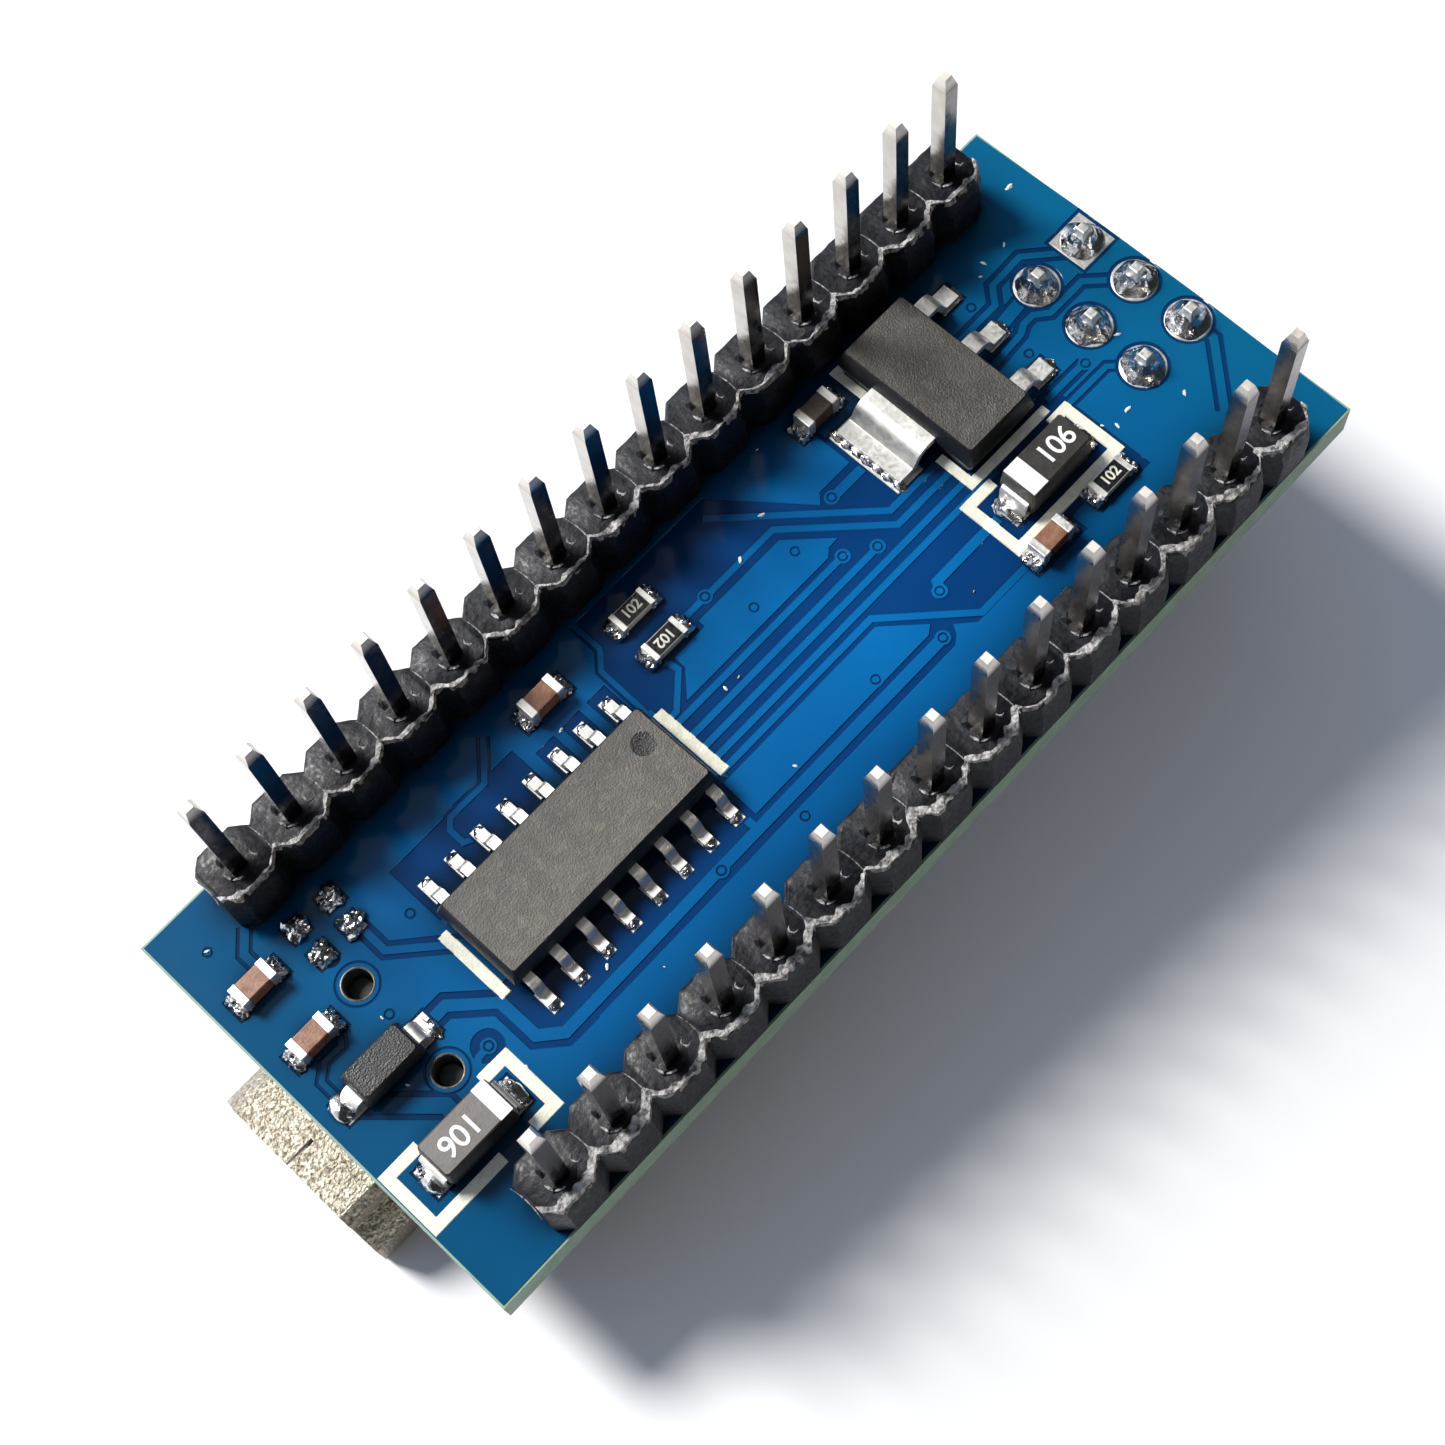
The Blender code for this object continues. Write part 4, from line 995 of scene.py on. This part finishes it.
FLUX_DROPS = (  # x, y, length
    (20.2, 6.4, 0.35), (17.1, 4.95, 0.25), (18.2, 4.9, 0.2), (16.6, 4.65, 0.16),
    (15.2, -3.1, 0.24), (15.95, -2.95, 0.3), (14.85, -2.7, 0.16), (17.8, -4.05, 0.26),
    (18.05, -0.7, 0.26), (-1.62, 0.48, 0.22), (-1.0, 0.42, 0.15), (-2.1, -3.3, 0.2),
    (-11.6, -3.45, 0.24), (-20.48, 7.1, 0.2), (-15.85, -3.85, 0.14), (-6.6, 3.7, 0.22),
    (-19.0, -1.35, 0.16), (2.3, 3.45, 0.3), (4.1, 4.1, 0.28), (-18.0, 0.95, 0.15),
    (6.9, -3.55, 0.1), (-10.3, -4.9, 0.1), (19.5, -6.2, 0.14), (5.9, 6.0, 0.12),
)


def make_loose_solder():
    """Solder left on the four unused lands, and pale drops of flux on the mask whose colour is
    partly a painted glint.
    """
    drops = []
    for index, (x, y) in enumerate(SPARE_LANDS):
        for part in range(3):
            angle = part * 2.1 + index
            place = spin((x + 0.22 * cos(angle), y + 0.22 * sin(angle)))
            drops.append((place, (0.62, 0.6, 0.42), index * 3 + part))
    add_solder("spare_land_solder", drops, rough=0.5)
    flux = bmesh.new()
    for index, (x, y, length) in enumerate(FLUX_DROPS):
        size = (length, length * 0.45, 0.05)
        placed(flux, spin((x, y), index * 1.9), add_blob, size, index, 0.4, COPPER_LEVEL)
    piece("flux_drops", flux, [FLUX])


# ---- headers

CELL_FLAT = 0.72
STRIP_HALF = 1.25
NOTCH_HALF = 0.78
STRIP_LEVELS = (  # inset, height, raggedness, lean
    (0.0, 0.04, 0.0, 0.0), (0.0, STRIP_TOP - 0.95, 0.0, 0.0),
    (0.015, STRIP_TOP - 0.24, 0.05, 0.16), (0.09, STRIP_TOP - 0.06, 0.09, 0.17),
    (0.20, STRIP_TOP, 0.05, 0.16),
)
BURR_STEP = 0.09
ICSP_TIP_WIDTH = 0.32


def strip_half(x):
    """Half the strip's width at x, with its notches."""
    offset = abs((x - PIN_X[0] + PITCH / 2) % PITCH - PITCH / 2)
    share = max(0.0, (offset - CELL_FLAT) / (PITCH / 2 - CELL_FLAT))
    return STRIP_HALF + (NOTCH_HALF - STRIP_HALF) * share


def strip_line():
    """Points along one side of a strip: x, and the half width there."""
    corners = [(x + dx, half) for x in PIN_X for dx, half in (
        (-PITCH / 2, NOTCH_HALF), (-CELL_FLAT, STRIP_HALF), (CELL_FLAT, STRIP_HALF))]
    corners.append((PIN_X[-1] + PITCH / 2, NOTCH_HALF))
    line = []
    for (x0, h0), (x1, h1) in zip(corners, corners[1:]):
        steps = max(2, round((x1 - x0) / 0.18))
        line += [(x0 + (x1 - x0) * s / steps, h0 + (h1 - h0) * s / steps) for s in range(steps)]
    return line + corners[-1:]


def strip_outline(y, inset, height, rag, lean):
    """One strip's outline at one height; rag roughens it, and lean pulls in its -Y side."""
    line = strip_line()
    start, end = line[0][0], line[-1][0]
    outline = []
    for side, points, share, pull in ((-1, line, 1.0, lean), (1, line[::-1], 0.35, 0.0)):
        for x, half in points:
            jitter = share * rag * wave(x * 3.1, y + side * 2, height * 4)
            reach = half - inset + jitter - pull
            pulled = x + inset * ((x == start) - (x == end))
            outline.append((pulled, y + side * reach, height + 0.5 * jitter))
    return outline


def add_burr(bm, y, width):
    """The ragged pale edge left where the strip was cut: a torn lip along its -Y top edge."""
    start = len(bm.faces)
    rows = []
    x = PIN_X[0] - PITCH / 2 + 0.05
    while x < PIN_X[-1] + PITCH / 2 - 0.04:
        swell = wave(x * 1.1, y, 0) + 0.6 * wave(x * 3.7, y, 5)
        reach = width * max(0.25, 1 + 1.1 * swell)
        lift = 0.02 + 0.02 * wave(x * 4, y, 9)
        edge = y - strip_half(x) + 0.26 + 0.05 * wave(x * 5, y, 2)
        rows.append([(x, edge - 0.08, STRIP_TOP - 0.16 - 0.5 * reach), (x, edge, STRIP_TOP + lift),
                     (x, edge + reach, STRIP_TOP + lift * 0.6),
                     (x, edge + reach + 0.02, STRIP_TOP - 0.05)])
        x += BURR_STEP
    add_levels(bm, rows)
    paint(bm, start, 1)


def add_arc(bm, centre, radius, width, middle_angle, spread, height):
    """A crescent lying on the plastic, thickest at its middle."""
    rings = []
    steps = 9
    for step in range(steps + 1):
        t = step / steps
        angle = middle_angle + spread * (t - 0.5)
        half = width / 2 * sin(pi * (0.06 + 0.88 * t))
        rings.append([bm.verts.new((centre[0] + (radius + reach) * cos(angle),
                                    centre[1] + (radius + reach) * sin(angle), height + lift))
                      for reach, lift in ((-half, 0.0), (0.0, 0.03), (half, 0.0))])
    bridge(bm, rings, closed=False)


def add_scuffs(bm, x, y, seed):
    """Pale marks round one pin: a crescent on the lit rim round it, which is a painted highlight,
    a smaller rub beside it and the cell's seam.
    """
    start = len(bm.faces)
    vary = wave(seed * 1.7, 0.3, 0.9)
    add_arc(bm, (x, y), 0.54, 0.13, radians(228 + 30 * vary), 1.7 + vary, STRIP_TOP + 0.045)
    add_arc(bm, (x + 0.78, y - 0.12), 0.16, 0.09 + 0.05 * vary, radians(200), 3.4,
            STRIP_TOP + 0.002)
    add_arc(bm, (x - PITCH / 2 - 3.0, y), 3.0, 0.05, 0.0, 0.48, STRIP_TOP + 0.002)
    paint(bm, start, 1)


def make_strips():
    collar = [(0.34, STRIP_TOP - 0.01), (0.40, STRIP_TOP + 0.05), (0.50, STRIP_TOP + 0.06),
              (0.66, STRIP_TOP - 0.012)]
    for row, y, burr in (("a", ROW_Y, 0.16), ("b", -ROW_Y, 0.26)):
        bm = bmesh.new()
        add_levels(bm, [strip_outline(y, *level) for level in STRIP_LEVELS])
        cap = max(bm.faces, key=lambda face: face.calc_center_median().z * (len(face.verts) > 4))
        bmesh.ops.triangulate(bm, faces=[cap])
        for x in PIN_X:
            placed(bm, spin((x, y)), add_turned, collar, segments=20, wobble=0.12)
        add_burr(bm, y, burr)
        for index, x in enumerate(PIN_X):
            add_scuffs(bm, x, y, index + y)
        piece("strip_" + row, bm, [STRIP, STRIP_TORN], node="header_strip_" + row)
        for pin in nodes_named("header_pin_" + row):
            repaint(pin, PIN_PLATE, 0.06)


def make_solder_joints():
    """A solder cone climbing each square pin."""
    for name, side, places, pad, height in (
        ("header_joints", COMPONENT_SIDE, HEADER_PINS, HEADER_LAND_RADIUS, 0.75),
        ("programming_joints", PIN_SIDE, ICSP_PINS, 0.84, 0.62),
    ):
        bm = bmesh.new()
        cone = [(pad, 0.0), (pad * 0.93, 0.10), (pad * 0.72, 0.22), (0.5, height * 0.55),
                (0.38, height), (0.0, height + 0.02)]
        on_pad = side @ Matrix.Translation((0, 0, PAD_LEVEL))
        for place in places:
            placed(bm, on_pad, add_turned, cone, place, 24, 0.18)
        piece(name, bm, [SOLDER])


def make_icsp():
    bm = bmesh.new()
    top = -THICKNESS - 0.02
    bottom = top - PITCH
    at = spin(ICSP)
    placed(bm, at, add_levels, [
        rectangle(2 * PITCH, 3 * PITCH, height, inset, PITCH / 4)
        for height, inset in ((bottom, 0.1), (bottom + 0.1, 0.0), (top - 0.1, 0.0), (top, 0.1))])
    for row in (-1, 1):
        placed(bm, at @ Matrix.Translation((0, row * PITCH / 2, 0)), add_levels, [
            rectangle(1.9 * PITCH, 0.16, bottom - 0.035, 0.05),
            rectangle(1.9 * PITCH, 0.16, bottom + 0.02)])
    piece("icsp_block", bm, [STRIP], node="icsp_header")
    pins = bmesh.new()
    rings = [rectangle(size, size, height) for size, height in (
        (ICSP_TIP_WIDTH, ICSP_LOW.z), (0.64, ICSP_LOW.z + 0.55), (0.64, 0.55), (0.4, 0.95))]
    for place in ICSP_PINS:
        placed(pins, spin(place), add_levels, rings)
    for face in pins.faces:
        if face.calc_center_median().z > 0.5:
            face.material_index = 1
    piece("icsp_pins", pins, [PIN_PLATE, TIN], bevel=0.05, angle=10)


# ---- component side

def make_controller():
    at = COMPONENT_SIDE @ spin(below(CONTROLLER), pi / 4)
    body = moulded("microcontroller", at)
    dot = [(0.0, 1.103), (0.3, 1.103), (0.36, 1.108), (0.37, 1.095)]
    placed(body, at @ spin((-2.7, -2.7)), add_turned, dot, segments=28, slot=1)
    leads, drops = [], []
    for quarter in range(4):
        for index, offset in enumerate(CONTROLLER_LEADS):
            place = at @ spin((0, 0), quarter * pi / 2) @ spin((0, offset))
            leads.append((place, gull_wing(3.5, 3.8, 4.5, 0.5), 0.35, 0.13, 0.08))
            drops.append((place @ spin((4.5, 0)), (0.45, 0.4, 0.14), index + quarter))
    finish_package("controller", "microcontroller", body, [EPOXY_BLACK, EPOXY], leads, drops,
                   bevel=0, lift=0.02)


def make_crystal(node):
    at = COMPONENT_SIDE @ spin(below(node))
    size = footprint(node)
    body = bmesh.new()
    placed(body, at, add_box, (*size, 0.48), (0, 0, 0.26))
    placed(body, at, add_levels, [rectangle(*size, height, inset, 0.2) for height, inset in (
        (0.5, 0.1), (0.53, 0.13), (0.55, 0.24), (0.76, 0.28))], slot=1)
    piece(node + "_can", body, [ALUMINA, CRYSTAL_LID], 0.04, node=node)


def make_led(node):
    at = COMPONENT_SIDE @ spin(below(node))
    body = bmesh.new()
    placed(body, at, add_box, (1.05, 0.8, 0.26), (0, 0, 0.15))
    for side in (-1, 1):
        placed(body, at, add_box, (0.3, 0.8, 0.27), (side * 0.65, 0, 0.155), slot=2)
    placed(body, at, add_levels, [
        rectangle(1.1, 0.78, 0.27), rectangle(1.1, 0.78, 0.62, 0.07)], slot=1)
    piece(node + "_body", body, [ALUMINA, LENS, TIN], 0.035, node=node)
    add_solder(node + "_solder", [
        (at @ spin((side * 0.9, 0)), (0.5, 0.8, 0.22), side + middle(node).y)
        for side in (-1, 1)], 0.02)


def make_usb_and_switch():
    for node, material, width in (
        ("usb_shell", NICKEL, 0.07), ("usb_insert", INSERT, 0.03),
        ("reset_switch_base", SWITCH_BODY, 0.05), ("reset_switch_cover", SHEET_STEEL, 0.03),
        ("reset_switch_dome", SHEET_STEEL, 0.0), ("reset_button", BUTTON, 0.05),
    ):
        repaint(node, material, width)
    switch = below(SWITCH)
    feet = [((x, side * 4.45 - USB_Y), (2.0, 1.1, 0.32), x + side)
            for x in SHELL_FEET_X for side in (-1, 1)]
    feet += [((SHELL_HIGH.x + 1.15, y), (0.7, 0.4, 0.2), index)
             for index, y in enumerate(USB_CONTACT_Y)]
    feet += [((switch.x, switch.y + side * 4.0), (1.1, 0.7, 0.25), side) for side in (-1, 1)]
    add_solder("foot_solder", [
        (COMPONENT_SIDE @ spin(place), size, seed) for place, size, seed in feet], 0.02)


# ---- stage

LIGHT_FROM = Vector((-0.203, 0.645, 0.735)).normalized()
LIGHT_DISTANCE = 0.5
LIGHT_SIZE = 0.17
LIGHT_POWER = 3.9
LIGHT_COLOUR = (1.0, 0.985, 0.96)
FILL_FROM = Vector((-0.45, 0.87, 0.2)).normalized()
FILL_DARK = (0.165, 0.128, 0.062)
FILL_BRIGHT = (0.34, 0.47, 0.74)
MIRROR_DARK = (0.03, 0.03, 0.028)
MIRROR_BRIGHT = (1.2, 1.25, 1.3)
WHITE = (1.0, 1.0, 1.0, 1.0)
CAMERA_AT = Vector((-20.47, -24.83, 79.41))
CAMERA_AIM = Vector((-2.61, -0.31, 0.0))
CAMERA_ROLL = radians(-11.28)
CAMERA_LENS = 60.8
FLOOR_RADIUS = 85.0
FLOOR_SINK = 0.02


def make_floor():
    """The board rests on the USB shell at one end and on the inner programming pins at the
    other, so the floor slopes by the angle between those two heights.  From below it is
    clear."""
    rest_pin = min(x for x, _ in ICSP_PINS) - ICSP_TIP_WIDTH / 2
    slope = (ICSP_LOW.z - SHELL_LOW.z) / (rest_pin - SHELL_LOW.x)
    edge = [ORIGIN + Vector((x, y, SHELL_LOW.z + slope * (x - SHELL_LOW.x) - FLOOR_SINK)) * MM
            for x, y in disc((0.0, 0.0), FLOOR_RADIUS, 96, 0.0)]
    mesh = bpy.data.meshes.new("floor")
    mesh.from_pydata(edge, [], [range(len(edge))])
    paper = surface("floor_paper", (0.90, 0.90, 0.90), 0.8, patch=30.0, tint=0.01, grain=0.3,
                    bump=0.1, shine=0.1)
    tree = paper.node_tree
    mix = add_node(tree, "MixShader", {
        0: add_node(tree, "NewGeometry", output="Backfacing"),
        1: tree.nodes["Principled BSDF"].outputs[0],
        2: add_node(tree, "BsdfTransparent")})
    tree.links.new(mix, tree.nodes["Material Output"].inputs["Surface"])
    mesh.materials.append(paper)
    show("floor", mesh)


def make_sky():
    """White to the camera, a dim room with a window for mirrors, and a soft fill otherwise."""
    world = bpy.data.worlds.new("studio")
    bpy.context.scene.world = world
    world.use_nodes = True
    tree = world.node_tree
    tree.nodes.clear()
    facing = add_node(tree, "TexCoord", output="Generated")
    toward = dot_node(tree, facing, FILL_FROM)

    def glow(dark, bright, start):
        """Sky that brightens towards the window."""
        fall = add_node(tree, "MapRange", {"Value": toward, "From Min": start, "From Max": 1.0},
                        interpolation_type="SMOOTHSTEP")
        return add_node(tree, "Background", {"Color": mix_colours(tree, fall, dark, bright)})

    shiny = add_node(tree, "MixShader", {
        0: add_node(tree, "LightPath", output="Is Glossy Ray"),
        1: glow(FILL_DARK, FILL_BRIGHT, -0.6), 2: glow(MIRROR_DARK, MIRROR_BRIGHT, 0.2)})
    seen = add_node(tree, "MixShader", {
        0: add_node(tree, "LightPath", output="Is Camera Ray"),
        1: shiny, 2: add_node(tree, "Background", {"Color": WHITE})})
    tree.links.new(seen, tree.nodes.new("ShaderNodeOutputWorld").inputs["Surface"])


def make_light_and_camera():
    scene = bpy.context.scene
    scene.view_settings.view_transform = "Standard"
    key = show("window", bpy.data.lights.new("window", "AREA"), shape="DISK", size=LIGHT_SIZE,
               energy=LIGHT_POWER, color=LIGHT_COLOUR)
    key.location = ORIGIN + LIGHT_FROM * LIGHT_DISTANCE
    key.rotation_euler = (-LIGHT_FROM).to_track_quat("-Z", "Y").to_euler()
    scene.camera = show("camera", bpy.data.cameras.new("camera"), lens=CAMERA_LENS,
                        clip_start=0.005, clip_end=10.0)
    scene.camera.location = ORIGIN + CAMERA_AT * MM
    look = (CAMERA_AIM - CAMERA_AT).to_track_quat("-Z", "Y")
    scene.camera.rotation_mode = "QUATERNION"
    scene.camera.rotation_quaternion = look @ Quaternion((0.0, 0.0, 1.0), CAMERA_ROLL)


# ---- whole object

repaint("circuit_board", LAMINATE)
pin_side_artwork().build("pin_side_finish", PIN_SIDE)
component_side_artwork().build("component_side_finish", COMPONENT_SIDE)
make_chip()
make_regulator()
make_tantalum("tantalum_cap_input", TANTALUM_GREY, 0.95, 1.5, -0.3, pi)
make_tantalum("tantalum_cap_output", TANTALUM_DARK, -1.5, -0.75, 0.5, 0.0)
# The regulator's ceramic capacitor takes the darker copy of its finish: painted shade.
for part in CERAMICS:
    make_chip_part(part, [CERAMIC_DARK if part == DARK_CERAMIC else CERAMIC, TIN], 0.8, 0.34)
for part, text_turn in zip(RESISTORS, (0.0, pi, 0.0)):
    make_chip_part(part, [ALUMINA, TIN, GLAZE, PRINT], 0.42, 0.20, text_turn)
make_diode()
make_peg_liners()
make_loose_solder()
make_strips()
make_solder_joints()
make_icsp()
make_controller()
for part in ("crystal_controller", "crystal_usb"):
    make_crystal(part)
for part in LEDS:
    make_led(part)
make_usb_and_switch()
make_floor()
make_sky()
make_light_and_camera()
